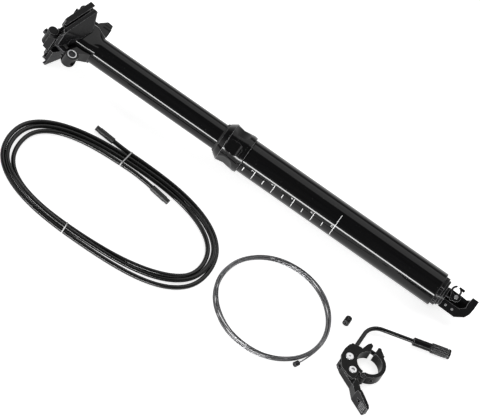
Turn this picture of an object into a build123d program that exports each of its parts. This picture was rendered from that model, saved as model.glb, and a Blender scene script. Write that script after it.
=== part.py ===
from build123d import *
import math
import os

# Dropper seatpost kit, in millimetres. The post lies on its side: x runs from its saddle head to its
# foot, y is its front, z its side. Its loose pieces lie beside it on the same surface.
# The origin is the centre of the lower tube's top end.

os.makedirs("parts", exist_ok=True)

overrun = 1.0
running_gap = 0.05
side_gap = 0.3
seat_gap = 0.02
chamfer_size = 0.4
diagonal_share = math.sqrt(0.5)

# Tubes of the post.
lower_tube_radius = 15.45
lower_tube_length = 195.0
lower_tube_wall = 1.55
spigot_radius = 14.6
spigot_length = 21.0
travel = 125.0
stanchion_radius = 12.05
stanchion_wall = 1.65
stanchion_reach = 152.7
stanchion_overlap = 58.0
lower_bore = lower_tube_radius - lower_tube_wall
stanchion_bore = stanchion_radius - stanchion_wall
head_start = -stanchion_reach

# Collar, wiper and bushings.
collar_length = 25.4
collar_lip = 1.0
wiper_radius = 13.6
wiper_height = 5.1
wiper_lip = 0.35
flute_count = 6
flute_radius = 14.0
flute_depth = 0.9
flute_middle_share = 0.5
flute_turn_share = 0.23
collar_waist_share = 1.049
collar_profile_shares = (
    (1.0, 0.919), (0.917, 1.016), (0.803, 1.146), (0.693, 1.1), (0.512, 1.049), (0.13, 1.139),
    (0.012, 1.107),
)
bushing_length = 18.0
lower_bushing_length = 12.0

# Keys that stop the stanchion turning.
key_count = 3
key_radius = 1.5
key_length = 10.0
key_circle = 12.75
key_setback = 25.0

# Gas cartridge, its rod and the valve pin.
cartridge_radius = 10.2
cartridge_wall = 2.0
cartridge_head_gap = 1.5
cartridge_cap = 30.0
gland_length = 6.0
gland_flange = 2.0
rod_radius = 4.0
rod_past_tube = 4.0
rod_piston_setback = 20.0
rod_piston_length = 6.0
valve_pin_radius = 1.5
valve_pin_lead = 4.0

# Foot of the lower tube.
foot_cap_length = 11.0
foot_neck_radius = 11.6
foot_neck_length = 5.5
lock_ring_radius = 13.1
lock_ring_width = 3.6
lock_ring_notches = 6
notch_radius = 1.1

# Actuator under the foot. Its own plane is turned about the post.
bracket_turn = 40.0
bracket_gap = 0.1
bracket_length = 28.1
bracket_drop = 11.4
bracket_half_width = 4.0
bracket_flange = 2.2
bracket_flange_radius = 10.5
bracket_plate = 2.0
bracket_shares = (
    (0.06, -0.28), (0.06, -0.98), (0.633, -1.0), (0.9, -0.588), (0.979, -0.193), (1.0, 0.307),
    (1.0, 0.96), (0.786, 0.96), (0.772, 0.72), (0.762, 0.368), (0.783, 0.088), (0.737, -0.053),
    (0.619, -0.28),
)
bracket_plate_shares = (
    (0.03, -0.9), (0.63, -0.93), (0.87, -0.56), (0.93, -0.1), (0.93, 0.7), (0.772, 0.72),
    (0.676, 0.561), (0.512, 0.588), (0.03, 0.605),
)
dowel_radius = 1.0
dowel_shares = ((0.235, -0.61), (0.463, -0.61))
housing_bore = 2.5
housing_bore_height = 7.7
housing_bore_depth = 4.7
cable_hole = 0.9
cam_pivot_setback = 10.1
cam_pivot_height = 3.4
cam_pivot_radius = 1.25
cam_low = -1.8
cam_high = 3.6
cam_head_radius = 1.8
cam_head_height = 0.6
cam_drum = 4.2
cam_nose_radius = 1.6
cam_nose_setback = 2.9
cam_seat_radius = 3.0
cam_seat_wall = 1.7
cam_seat_setback = 2.5
cam_seat_rise = 4.2
cam_lip_length = 5.3
cam_spike_width = 2.0
cam_slot = 1.6

# Saddle head. The clamp turns about the tilt axis, above the stanchion.
head_reach = 33.4
tilt_axis_offset = 2.6
tilt_seat_radius = 20.0
lean = 16.0
yoke_length = 9.0
yoke_rear = 12.0
yoke_front = 15.5
yoke_half_width = 11.0
yoke_corner = 5.0
yoke_crown = 0.35
yoke_rise = 9.3
ear_half_width = 5.5
ear_corner = 1.6
front_ear_shares = (
    (0.015, 0.24), (0.015, 0.82), (0.174, 0.838), (0.338, 0.659), (0.398, 0.434), (0.3, 0.24),
)
rear_ear_shares = (
    (0.015, -0.24), (0.054, -0.386), (0.174, -0.455), (0.296, -0.545), (0.338, -0.72),
    (0.533, -0.72), (0.578, -0.563), (0.548, -0.3),
)
front_nut_offset = 20.5
rear_nut_offset = 19.5
nut_radius = 4.4
nut_half_length = 8.5
bolt_radius = 2.5
bolt_gap = 0.1
nut_gap = 0.2
bolt_past_nut = 6.5
front_ear_drop = 23.9
front_boss_radius = 5.9
front_head_radius = 4.25
front_head_height = 4.0
front_head_gap = 0.15
front_ball_radius = 3.4
front_head_room = 0.35
ear_bolt_room = 0.4
rear_ear_drop = 25.0
rear_ear_radius = 6.2
washer_radius = 4.6
washer_half_length = 5.0
rear_head_radius = 3.7
rear_head_height = 2.6
rear_head_drop = 1.3
rear_head_room = 0.5
socket_radius = 2.1
small_socket_radius = 1.7
socket_depth = 2.0

# Rail clamp: a plate over the rails and a cradle under them.
rail_radius = 3.5
rail_spacing = 44.0
rail_depth = 7.8
clamp_half_width = 26.0
plate_top = 1.8
plate_web = 3.2
plate_bottom = 6.8
plate_front = 17.0
plate_rear = 20.0
wing_width = 8.5
wing_front_share = 0.85
lug_top = 1.0
lug_bottom = 7.2
lug_half_width = 9.0
web_shares = (
    (1.0, 1.0), (-1.18, 1.0), (-1.0, 0.673), (-0.53, 0.423), (-0.88, 0.346), (-0.88, -0.346),
    (-0.53, -0.423), (-1.0, -0.673), (-1.18, -1.0), (1.0, -1.0), (0.824, -0.673), (0.47, -0.423),
    (0.88, -0.346), (0.88, 0.346), (0.47, 0.423), (0.824, 0.673),
)
slot_half_width = 2.8
slot_length = 8.0
front_slot_length = 9.8
front_slot_shift = 1.3
cradle_top = 8.8
cradle_block = 3.2
cradle_front = 16.0
cradle_rear = 25.5
cradle_corner = 3.0
cradle_foot_depth = 20.3
cradle_foot_front = 9.0
cradle_foot_rear = 6.0
cradle_foot_half = 13.0
cradle_foot_corner = 2.0
yoke_side_gap = 1.5
cradle_slot_half = 5.0
cradle_slot_start = 15.0
pocket_front = 9.0
pocket_half_width = 12.0
pocket_depth = 5.2
pocket_corner = 2.0

# Handlebar remote, laid flat beside the foot of the post.
remote_x = 181.9
remote_y = -102.9
bar_radius = 11.1
band_wall = 3.5
band_width = 10.0
body_start = 112.0
body_end = 266.0
clamp_start = -86.0
clamp_end = 94.0
body_lug_shares = (
    (-0.7945, 0.6575), (-0.6712, 1.1164), (-0.5342, 1.2877), (-0.3699, 1.1918), (-0.3151, 0.726),
)
clamp_lug_shares = (
    (-0.0616, 0.7877), (-0.0616, 1.3014), (0.0822, 1.363), (0.2466, 1.1918), (0.3973, 1.0685),
    (0.6438, 0.6849), (0.411, 0.6575),
)
deck_thickness = 2.0
deck_shares = (
    (-0.8219, 0.6438), (-1.2329, 0.5616), (-1.5411, 0.3425), (-1.637, -0.1096), (-1.6164, -0.6027),
    (-1.3767, -1.0959), (-1.1918, -1.3699), (-0.6712, -1.5959), (-0.2466, -1.6781), (-0.2055, -1.2329),
    (-0.2603, -0.9315), (-0.137, -0.6164), (-0.411, 0.0),
)
deck_corner = 1.6
column_left = -21.5
column_right = -12.8
column_near = 0.5
column_far = 7.8
column_low = 0.8
column_corner = 1.5
hinge_x = 1.5
hinge_y = -14.6
hinge_pin_radius = 1.25
knuckle_radius = 2.8
knuckle_low = 3.3
knuckle_high = 6.7
knuckle_gap = 0.15
pinch_y = 15.0
pinch_radius = 1.9
pinch_room = 0.6
pinch_head_radius = 3.1
pinch_head_height = 3.2
pinch_head_room = 0.5
pinch_seat_x = 4.2
pinch_end_x = -9.6
band_socket = 3.0
band_socket_depth = 1.0
band_socket_angle = -50.0

lever_x = -8.5
lever_y = -16.4
lever_hub = 3.5
lever_low = 0.6
lever_high = 7.7
lever_raised = 9.6
lever_step_x = -2.0
lever_shares = (
    (-1.5068, -0.6164), (-1.5274, -0.9589), (-1.1233, -1.3425), (-0.6233, -1.637), (-0.1781, -1.8836),
    (0.2671, -2.4521), (0.6233, -2.6507), (0.726, -2.4726), (0.4521, -1.9863), (0.0822, -1.5616),
    (-0.3151, -1.363), (-0.5822, -1.1233), (-0.7877, -0.9315), (-1.1918, -0.6164),
)
lever_corner = 0.9
paddle_length = 17.5
paddle_thickness = 3.0
paddle_slope = -29.2
paddle_low = 0.3
paddle_shares = (
    (0.0, 0.0), (0.0, 0.72), (0.05, 0.95), (0.16, 1.0), (0.5, 0.92), (0.9, 0.79), (1.0, 0.66),
    (1.0, 0.12), (0.93, 0.0),
)
paddle_height = 16.2
paddle_corner = 1.1
paddle_window_shares = ((0.24, 0.42), (0.24, 0.62), (0.48, 0.62), (0.48, 0.42))
groove_count = 5
groove_half = 0.45
groove_depth = 0.4
groove_first_share = 0.56
groove_last_share = 0.9
groove_foot_share = 0.14
groove_head_share = 0.72
bush_radius = 2.4
bush_flange_radius = 3.3
bush_flange = 0.45
bush_foot = 0.05
disc_radius = 3.5
disc_height = 1.1
pivot_bolt_radius = 1.6
pivot_bolt_foot = 0.9
cover_x = -16.8
cover_y = -6.3
cover_bolt_radius = 1.5
cover_bolt_foot = 6.4
cover_boss_radius = 2.2
spring_wire = 0.45
spring_radius = 3.0
spring_height = 6.6
spring_room = 4.7
spring_leg = 0.9
spring_start = 200.0
spring_sweep = 290.0
cable_screw_x = -19.35
cable_screw_y = -16.8
cable_screw_height = 4.0
cable_screw_turn = 226.5
cable_screw_radius = 1.9
cable_screw_head = 1.2
cable_screw_shank = 1.2
cable_screw_depth = 4.5

# Bent guide tube with its adjuster.
guide_x = -17.2
guide_z = 4.7
guide_radius = 1.9
guide_bore = 1.0
guide_start = 1.5
guide_corner_y = 38.5
guide_bend = 15.0
guide_heading = 17.5
sleeve_reach = 38.6
sleeve_length = 16.0
sleeve_radius = 3.6
sleeve_overlap = 6.0
knob_length = 17.0
knob_radius = 4.4
knob_ribs = 16
knob_rib_radius = 0.5
knob_lip = 3.0
knob_lip_radius = 3.7
knob_stem_radius = 2.6
knob_stem_length = 6.0
adjuster_bore_depth = 9.0

# Loose pieces on the surface beside the post.
housing_radius = 2.0
housing_x = -71.5
housing_y = -110.5
housing_half_long = 101.5
housing_half_short = 56.0
housing_pitch_long = 7.0
housing_pitch_short = 4.7
housing_turns = 3
housing_lift = 0.8
tail_out_radius = 200.0
tail_out_turn = 6.5
tail_in_radius = 94.0
tail_in_turn = 11.0
ferrule_radius = 2.7
ferrule_tip_radius = 2.4
ferrule_length = 18.5
ferrule_tip = 4.0
tie_thickness = 0.5
tie_width = 1.2
tie_gap = 0.3
far_tie_x = -9.7
near_tie_x = -18.0
cable_radius = 0.6
cable_x = 89.4
cable_y = -105.8
cable_loop_radius = 51.4
cable_pitch = 1.7
cable_turns = 3
cable_tail_radius = 75.0
cable_tail_turn = 25.5
head_radius = 2.25
head_length = 4.5
barrel_x = 146.7
barrel_y = -72.4
barrel_radius = 2.95
barrel_length = 7.8
barrel_hole = 1.55
barrel_hole_depth = 4.4
barrel_cross_hole = 0.7
barrel_round = 1.4
grub_radius = 1.5
grub_length = 3.0
grub_socket = 0.75
grub_socket_depth = 1.2

# How the post lies: on a wing of its clamp and on the end of its lower tube.
pivot_x = head_start - head_reach
pivot_y = tilt_axis_offset
lean_cos = math.cos(math.radians(lean))
lean_sin = math.sin(math.radians(lean))
rest_x = pivot_x + lean_cos * (cradle_top + cradle_block) + lean_sin * (cradle_front - cradle_corner)
rest_run = lower_tube_length - rest_x
post_tilt = math.degrees(math.atan2(clamp_half_width - lower_tube_radius, rest_run))
tilt_cos = math.cos(math.radians(post_tilt))
tilt_sin = math.sin(math.radians(post_tilt))
floor_z = -(lower_tube_radius * tilt_cos + lower_tube_length * tilt_sin)
post_place = Rot(0, post_tilt, 0)
bracket_place = post_place * Rot(bracket_turn, 0, 0)
clamp_place = post_place * Pos(pivot_x, pivot_y, 0) * Rot(0, 0, -lean)
remote_place = Pos(remote_x, remote_y, floor_z)

# Bolts of the head, seen from the side of the post.
front_nut_x = pivot_x + lean_sin * front_nut_offset
front_nut_y = pivot_y + lean_cos * front_nut_offset
rear_nut_x = pivot_x - lean_sin * rear_nut_offset
rear_nut_y = pivot_y - lean_cos * rear_nut_offset
front_seat_x = front_nut_x + front_ear_drop
rear_ear_x = rear_nut_x + lean_cos * rear_ear_drop
rear_ear_y = rear_nut_y - lean_sin * rear_ear_drop
rear_place = post_place * Pos(rear_ear_x, rear_ear_y, 0) * Rot(0, 0, -lean)

rod_end = lower_tube_length + rod_past_tube
rod_piston_start = stanchion_overlap - rod_piston_setback
valve_pin_start = stanchion_overlap + valve_pin_lead
foot_neck_end = lower_tube_length + foot_neck_length
bracket_start = foot_neck_end + bracket_gap
cam_pivot_x = bracket_start + cam_pivot_setback
valve_pin_end = cam_pivot_x - cam_nose_setback - cam_nose_radius - running_gap
band_radius = bar_radius + band_wall
cartridge_bore = cartridge_radius - cartridge_wall


def rod(radius, start, end):
    # A round bar along x.
    body = Cylinder(radius, end - start, align=(Align.CENTER, Align.CENTER, Align.MIN))
    return Pos(start, 0, 0) * Rot(0, 90, 0) * body


def pipe(outer, inner, start, end):
    return rod(outer, start, end) - rod(inner, start - overrun, end + overrun)


def upright(radius, x, y, low, high):
    # A round bar along z.
    body = Cylinder(radius, high - low, align=(Align.CENTER, Align.CENTER, Align.MIN))
    return Pos(x, y, low) * body


def outline(points, corner=0):
    face = make_face(Polyline(*points, close=True))
    if corner:
        face = fillet(face.vertices(), corner)
    return face


def slab(points, low, high, corner=0):
    # An outline in x and y, between two heights.
    return Pos(0, 0, low) * extrude(outline(points, corner), high - low, dir=(0, 0, 1))


def plan(points, start, end, corner=0):
    # An outline in y and z, between two places on x.
    face = Plane.YZ.offset(start) * outline(points, corner)
    return extrude(face, end - start, dir=(1, 0, 0))


def block(x_low, x_high, y_low, y_high, z_low, z_high):
    size = (x_high - x_low, y_high - y_low, z_high - z_low)
    return Pos(x_low, y_low, z_low) * Box(*size, align=(Align.MIN, Align.MIN, Align.MIN))


def turned(points):
    # A profile of x and radius, turned about x.
    return revolve(outline(points), axis=Axis.X)


def ring_sector(inner, outer, start, end, low, high):
    # A piece of a ring about z, between two angles.
    steps = 6
    reach = outer / math.cos(math.radians((end - start) / (2 * steps)))
    points = [(0, 0)]
    for step in range(steps + 1):
        angle = math.radians(start + (end - start) * step / steps)
        points.append((reach * math.cos(angle), reach * math.sin(angle)))
    ring = upright(outer, 0, 0, low, high) - upright(inner, 0, 0, low - overrun, high + overrun)
    return ring & slab(points, low, high)


def scaled(shares, start, length, height):
    return [(start + length * a, height * b) for a, b in shares]


def band_scaled(shares):
    # Points of the remote, given as shares of its band's outer radius.
    return scaled(shares, 0, band_radius, band_radius)


def socket(radius, depth, start):
    # A hexagon socket along x, open at its start.
    face = Plane.YZ.offset(start - overrun) * RegularPolygon(radius, 6)
    return extrude(face, depth + overrun, dir=(1, 0, 0))


def together(solids):
    group = solids[0]
    for solid in solids[1:]:
        group += solid
    return group


def save(name, solid, place=None):
    if place is not None:
        solid = place * solid
    export_step(solid, "parts/" + name + ".step")


def make_lower_tube():
    tube = rod(lower_tube_radius, 0, lower_tube_length)
    tube = chamfer(tube.edges().filter_by(GeomType.CIRCLE), chamfer_size)
    tube += rod(spigot_radius, -spigot_length, chamfer_size)
    tube -= rod(lower_bore, -spigot_length - overrun, lower_tube_length + overrun)
    groove_start = stanchion_overlap - key_setback - side_gap
    groove_end = groove_start + key_length + travel + side_gap + side_gap
    for place in key_places():
        tube -= place * rod(key_radius + chamfer_size / 4, groove_start, groove_end)
    return tube


def key_places():
    places = []
    for number in range(key_count):
        places.append(Rot(360 * number / key_count, 0, 0) * Pos(0, key_circle, 0))
    return places


def make_key_pins():
    start = stanchion_overlap - key_setback
    pins = [place * rod(key_radius, start, start + key_length) for place in key_places()]
    return together(pins)


def make_seal_collar():
    lip_start = -spigot_length - seat_gap
    seat = spigot_radius + running_gap
    profile = [(-collar_length * a, lower_tube_radius * b) for a, b in collar_profile_shares]
    profile += [(-seat_gap, lower_tube_radius), (-seat_gap, seat), (lip_start, seat)]
    profile += [(lip_start, stanchion_radius + side_gap)]
    profile += [(lip_start - collar_lip, stanchion_radius + side_gap)]
    profile += [(lip_start - collar_lip, wiper_radius + seat_gap)]
    profile += [(-collar_length, wiper_radius + seat_gap)]
    collar = turned(profile)
    height = lower_tube_radius * collar_waist_share + flute_radius - flute_depth
    flute = Pos(-collar_length * flute_middle_share, 0, 0) * Cylinder(flute_radius, 4 * flute_radius)
    for number in range(flute_count):
        collar -= Rot(360 * (number + flute_turn_share) / flute_count, 0, 0) * Pos(0, height, 0) * flute
    return collar


def make_wiper_seal():
    start = -spigot_length - seat_gap - collar_lip
    end = start - wiper_height
    inner = stanchion_radius + running_gap + running_gap
    rim = (inner + wiper_radius) / 2
    profile = [(start, inner + wiper_lip), (start, wiper_radius)]
    profile += [(-collar_length - wiper_lip, wiper_radius)]
    profile += [(end, rim), (end, inner), (end + wiper_lip, inner)]
    return turned(profile)


def make_upper_bushing():
    end = -spigot_length + bushing_length + collar_lip
    start = -spigot_length
    return pipe(lower_bore - running_gap, stanchion_radius + running_gap, start, end)


def make_lower_bushing():
    start = stanchion_overlap - lower_bushing_length
    return pipe(lower_bore - running_gap, stanchion_radius + seat_gap, start, stanchion_overlap)


def make_foot_cap():
    start = lower_tube_length - foot_cap_length
    cap = rod(lower_bore - seat_gap, start, lower_tube_length)
    cap += rod(foot_neck_radius, lower_tube_length, foot_neck_end)
    cap -= rod(rod_radius + seat_gap, start - overrun, rod_end + seat_gap)
    cap -= rod(valve_pin_radius + running_gap, rod_end, foot_neck_end + overrun)
    return cap


def make_lock_ring():
    start = lower_tube_length + bolt_gap
    end = start + lock_ring_width
    ring = chamfer(rod(lock_ring_radius, start, end).edges().filter_by(GeomType.CIRCLE), chamfer_size)
    ring -= rod(foot_neck_radius + running_gap, start - overrun, end + overrun)
    for number in range(lock_ring_notches):
        turn = Rot(360 * number / lock_ring_notches, 0, 0)
        ring -= turn * Pos(0, lock_ring_radius, 0) * rod(notch_radius, start - overrun, end + overrun)
    return ring


def make_cartridge_rod():
    body = rod(rod_radius, rod_piston_start, rod_end)
    body -= rod(valve_pin_radius + running_gap, valve_pin_start - 2 * overrun, rod_end + overrun)
    return body


def make_rod_piston():
    end = rod_piston_start + rod_piston_length
    return pipe(cartridge_bore - running_gap, rod_radius + seat_gap, rod_piston_start, end)


def make_gas_cartridge():
    start = head_start + cartridge_head_gap + head_reach / 3
    end = stanchion_overlap - gland_flange
    shell = rod(cartridge_radius, start, end)
    shell -= rod(cartridge_bore, start + cartridge_cap, end + overrun)
    return shell


def make_cartridge_gland():
    start = stanchion_overlap - gland_flange - gland_length
    flange = stanchion_overlap - gland_flange
    gland = rod(cartridge_bore - seat_gap, start, flange)
    gland += rod(cartridge_radius, flange, stanchion_overlap)
    gland -= rod(rod_radius + running_gap, start - overrun, stanchion_overlap + overrun)
    return gland


def make_bracket():
    half = bracket_half_width
    plate_high = -half + bracket_plate
    end = bracket_start + bracket_length
    flange = rod(bracket_flange_radius, bracket_start, bracket_start + bracket_flange)
    top = bracket_flange_radius * bracket_plate_shares[-1][1]
    room = bracket_flange_radius + overrun
    flange -= block(bracket_start - overrun, end, top, room, -room, room)
    bar = slab(scaled(bracket_shares, bracket_start, bracket_length, bracket_drop), -half, half)
    plate_points = scaled(bracket_plate_shares, bracket_start, bracket_length, bracket_drop)
    body = flange + bar + slab(plate_points, -half, plate_high)
    body -= rod(valve_pin_radius + bolt_gap, bracket_start - overrun, cam_pivot_x - cam_drum)
    stop = Pos(0, housing_bore_height, 0)
    body -= stop * rod(housing_bore, end - housing_bore_depth, end + overrun)
    body -= stop * rod(cable_hole, end - bracket_length / 3, end)
    body -= upright(cam_pivot_radius + seat_gap, cam_pivot_x, cam_pivot_height, -half - overrun, half)
    for x, height in scaled(dowel_shares, bracket_start, bracket_length, bracket_drop):
        body -= upright(dowel_radius + seat_gap, x, height, -half - overrun, half + overrun)
    return body


def make_bracket_pins():
    pins = []
    half = bracket_half_width + chamfer_size / 2
    for x, height in scaled(dowel_shares, bracket_start, bracket_length, bracket_drop):
        pins.append(upright(dowel_radius, x, height, -half, half))
    return together(pins)


def make_cam_pivot_pin():
    head_low = cam_high + knuckle_gap
    pin = upright(cam_pivot_radius, cam_pivot_x, cam_pivot_height, -bracket_half_width, head_low)
    head_high = head_low + cam_head_height
    return pin + upright(cam_head_radius, cam_pivot_x, cam_pivot_height, head_low, head_high)


def make_cam():
    seat_x = cam_pivot_x - cam_seat_setback
    seat_y = cam_pivot_height + cam_seat_rise
    nose_x = cam_pivot_x - cam_nose_setback
    outer = cam_seat_radius + cam_seat_wall
    cam = upright(cam_drum, cam_pivot_x, cam_pivot_height, cam_low, cam_high)
    cam += upright(outer, seat_x, seat_y, cam_low, cam_high)
    cam += upright(cam_nose_radius, nose_x, 0, cam_low, cam_high)
    web = [(nose_x - cam_nose_radius, 0), (nose_x - cam_nose_radius, valve_pin_radius + bolt_gap)]
    web += [(seat_x - outer, seat_y), (cam_pivot_x, seat_y)]
    web += [(cam_pivot_x, 0), (nose_x, -cam_nose_radius)]
    cam += slab(web, cam_low, cam_high)
    lip_low = seat_y + outer / 2
    lip_start = seat_x + cam_slot / 3
    cam += block(lip_start, lip_start + cam_lip_length, lip_low, seat_y + outer, cam_low, cam_high)
    spike_start = seat_x - cam_seat_radius - cam_spike_width / 4
    spike_end = spike_start + cam_spike_width
    cam += block(spike_start, spike_end, seat_y, seat_y + cam_seat_radius, cam_low, cam_high)
    room = outer + overrun
    cam -= upright(cam_seat_radius, seat_x, seat_y, cam_low - overrun, cam_high + overrun)
    cam -= block(spike_end, lip_start, seat_y, seat_y + room, cam_low - overrun, cam_high + overrun)
    slot_low = (cam_low + cam_high - cam_slot) / 2
    slot_floor = seat_y - cable_hole
    cam -= block(seat_x, seat_x + 2 * outer, slot_floor, seat_y + room, slot_low, slot_low + cam_slot)
    bore = cam_pivot_radius + running_gap
    cam -= upright(bore, cam_pivot_x, cam_pivot_height, cam_low - overrun, cam_high + overrun)
    return cam


def crowned_section(x, low, high, half_width, corner, crown):
    # A rounded rectangle in y and z whose sides bow out a little: eight arcs.
    middle = (low + high) / 2
    half = (high - low) / 2
    diagonal = corner * (1 - diagonal_share)
    flat = half - corner
    side = half_width - corner
    turn = half_width - diagonal
    quarter = (
        ((half, side), (half - diagonal, turn), (flat, half_width)),
        ((flat, half_width), (0, half_width + crown), (-flat, half_width)),
        ((-flat, half_width), (diagonal - half, turn), (-half, side)),
        ((-half, side), (-half - crown, 0), (-half, -side)),
    )
    edges = []
    for sign in (1, -1):
        for points in quarter:
            places = [(x, middle + sign * y, sign * z) for y, z in points]
            edges.append(ThreePointArc(*places))
    return make_face(edges)


def make_yoke():
    round_corner = stanchion_radius * (1 - diagonal_share) * 2
    flat = stanchion_radius - round_corner
    crown = stanchion_radius - math.sqrt(stanchion_radius**2 - flat**2)
    side = stanchion_radius - crown
    corner = side - flat
    foot = crowned_section(head_start, -side, side, side, corner, crown)
    top_x = head_start - yoke_length
    top = crowned_section(top_x, -yoke_rear, yoke_front, yoke_half_width, yoke_corner, yoke_crown)
    return loft([foot, top]) + extrude(top, yoke_rise, dir=(-1, 0, 0))


def make_upper_post():
    post = rod(stanchion_radius, head_start, stanchion_overlap)
    yoke = make_yoke()
    half = ear_half_width
    scale = [(head_start - head_reach * a, head_reach * b) for a, b in front_ear_shares]
    yoke += slab(scale, -half, half, ear_corner)
    scale = [(head_start - head_reach * a, head_reach * b) for a, b in rear_ear_shares]
    yoke += slab(scale, -half, half, ear_corner)
    front = Pos(0, front_nut_y, 0)
    boss_start = front_seat_x - front_head_gap - front_boss_radius / 2
    boss_end = head_start - chamfer_size
    yoke += front * rod(front_boss_radius, boss_start, boss_end)
    yoke += upright(rear_ear_radius, rear_ear_x, rear_ear_y, -half, half)
    room = 2 * clamp_half_width
    yoke -= upright(tilt_seat_radius + running_gap, pivot_x, pivot_y, -room, room)
    yoke -= front * rod(bolt_radius + ear_bolt_room, pivot_x, front_seat_x + overrun)
    pocket = rod(front_head_radius + front_head_room, front_seat_x - front_head_gap, 0)
    yoke -= front * pocket
    yoke -= front * Pos(front_seat_x, 0, 0) * Sphere(front_ball_radius + running_gap)
    yoke -= upright(washer_radius + running_gap, rear_ear_x, rear_ear_y, -room, room)
    rear = Pos(rear_ear_x, rear_ear_y, 0) * Rot(0, 0, -lean)
    yoke -= rear * rod(bolt_radius + ear_bolt_room, -2 * rear_ear_radius, 0)
    yoke -= rear * rod(rear_head_radius + rear_head_room, 0, 2 * rear_ear_radius)
    post += yoke
    bore_start = head_start + head_reach / 3
    post -= rod(stanchion_bore, bore_start, stanchion_overlap + overrun)
    start = stanchion_overlap - key_setback
    for place in key_places():
        post -= place * rod(key_radius + seat_gap, start, start + key_length)
    return post


def make_front_bolt():
    end = front_nut_x - bolt_past_nut
    bolt = rod(bolt_radius, end, front_seat_x)
    head_end = front_seat_x + front_head_height
    bolt += Pos(front_seat_x, 0, 0) * Sphere(front_ball_radius)
    bolt += rod(front_head_radius, front_seat_x, head_end)
    bolt -= Pos(head_end, 0, 0) * Rot(0, 0, 180) * socket(socket_radius, socket_depth, 0)
    return Pos(0, front_nut_y, 0) * bolt


def make_rear_bolt():
    # Along x, from the barrel washer's centre.
    start = -rear_ear_drop - bolt_past_nut
    bolt = rod(bolt_radius, start, rear_head_drop)
    head_end = rear_head_drop + rear_head_height
    bolt += rod(rear_head_radius, rear_head_drop, head_end)
    bolt -= Pos(head_end, 0, 0) * Rot(0, 0, 180) * socket(socket_radius, socket_depth, 0)
    return bolt


def make_barrel_washer():
    washer = upright(washer_radius, 0, 0, -washer_half_length, washer_half_length)
    washer = chamfer(washer.edges().filter_by(GeomType.CIRCLE), chamfer_size)
    washer -= rod(bolt_radius + bolt_gap, -2 * washer_radius, 2 * washer_radius)
    head_room = rear_head_radius + bolt_gap + bolt_gap
    washer -= rod(head_room, rear_head_drop - seat_gap, 2 * washer_radius)
    return washer


def make_nut(offset, turn):
    nut = upright(nut_radius, 0, offset, -nut_half_length, nut_half_length)
    nut = chamfer(nut.edges().filter_by(GeomType.CIRCLE), chamfer_size)
    hole = rod(bolt_radius + nut_gap, -2 * nut_radius, 2 * nut_radius)
    return nut - Pos(0, offset, 0) * Rot(0, 0, turn) * hole


def rail_grooves():
    long = 2 * (cradle_rear + cradle_front)
    groove = Rot(90, 0, 0) * Cylinder(rail_radius, long)
    places = [Pos(rail_depth, 0, side * rail_spacing / 2) for side in (1, -1)]
    return [place * groove for place in places]


def mirrored_wing(side):
    inner = clamp_half_width - wing_width
    points = [(plate_front, clamp_half_width), (-plate_rear, clamp_half_width)]
    points += [(-plate_front, inner), (plate_front * wing_front_share, inner)]
    return [(y, side * z) for y, z in points]


def make_rail_clamp_plate():
    # In the clamp's own place: x is depth below the nuts, y forward, z to the side.
    web = [(plate_front * a, clamp_half_width * b) for a, b in web_shares]
    plate = plan(web, plate_top, plate_top + plate_web)
    for side in (1, -1):
        plate += plan(mirrored_wing(side), plate_top, plate_bottom)
    grow = nut_radius + slot_half_width / 2
    half = lug_half_width
    for middle, room in ((front_nut_offset, front_slot_shift), (-rear_nut_offset, 0)):
        far = middle + grow + room
        points = [(middle - grow, -half), (far, -half), (far, half), (middle - grow, half)]
        plate += plan(points, lug_top, lug_bottom, chamfer_size)
        trough = Pos(0, middle, 0) * Cylinder(nut_radius + running_gap, 2 * clamp_half_width)
        plate -= trough
    plate -= rail_grooves()
    for middle, length in ((front_nut_offset + front_slot_shift, front_slot_length),
                           (-rear_nut_offset, slot_length)):
        face = Pos(middle, 0) * SlotOverall(length, 2 * slot_half_width)
        plate -= extrude(Plane.YZ * face, 2 * lug_bottom, dir=(1, 0, 0))
    return plate


def make_rail_cradle():
    half = clamp_half_width
    low = cradle_top + cradle_block
    middle = (cradle_front - cradle_rear) / 2
    length = cradle_front + cradle_rear
    wing_face = Pos(middle, 0) * RectangleRounded(length, 2 * half, cradle_corner)
    cradle = extrude(Plane.YZ.offset(cradle_top) * wing_face, cradle_block, dir=(1, 0, 0))
    wide = Plane.YZ.offset(low) * wing_face
    foot_middle = (cradle_foot_front - cradle_foot_rear) / 2
    foot_length = cradle_foot_front + cradle_foot_rear
    foot_face = RectangleRounded(foot_length, 2 * cradle_foot_half, cradle_foot_corner)
    foot_face = Plane.YZ.offset(cradle_foot_depth) * Pos(foot_middle, 0) * foot_face
    cradle += loft([wide, foot_face])
    inner = yoke_half_width + yoke_side_gap
    room = block(low + seat_gap, 2 * low, -cradle_front, 2 * cradle_front, -inner, inner)
    cradle -= room - Cylinder(tilt_seat_radius, 4 * half)
    cradle -= rail_grooves()
    slot = block(0, 2 * low, -2 * cradle_rear, -cradle_slot_start, -cradle_slot_half, cradle_slot_half)
    cradle -= slot
    pocket = RectangleRounded(2 * pocket_front, 2 * pocket_half_width, pocket_corner)
    cradle -= extrude(Plane.YZ.offset(cradle_top) * pocket, pocket_depth, dir=(1, 0, 0))
    return cradle


def hinge_room(low, high):
    return upright(knuckle_radius + knuckle_gap, hinge_x, hinge_y, low, high)


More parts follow.
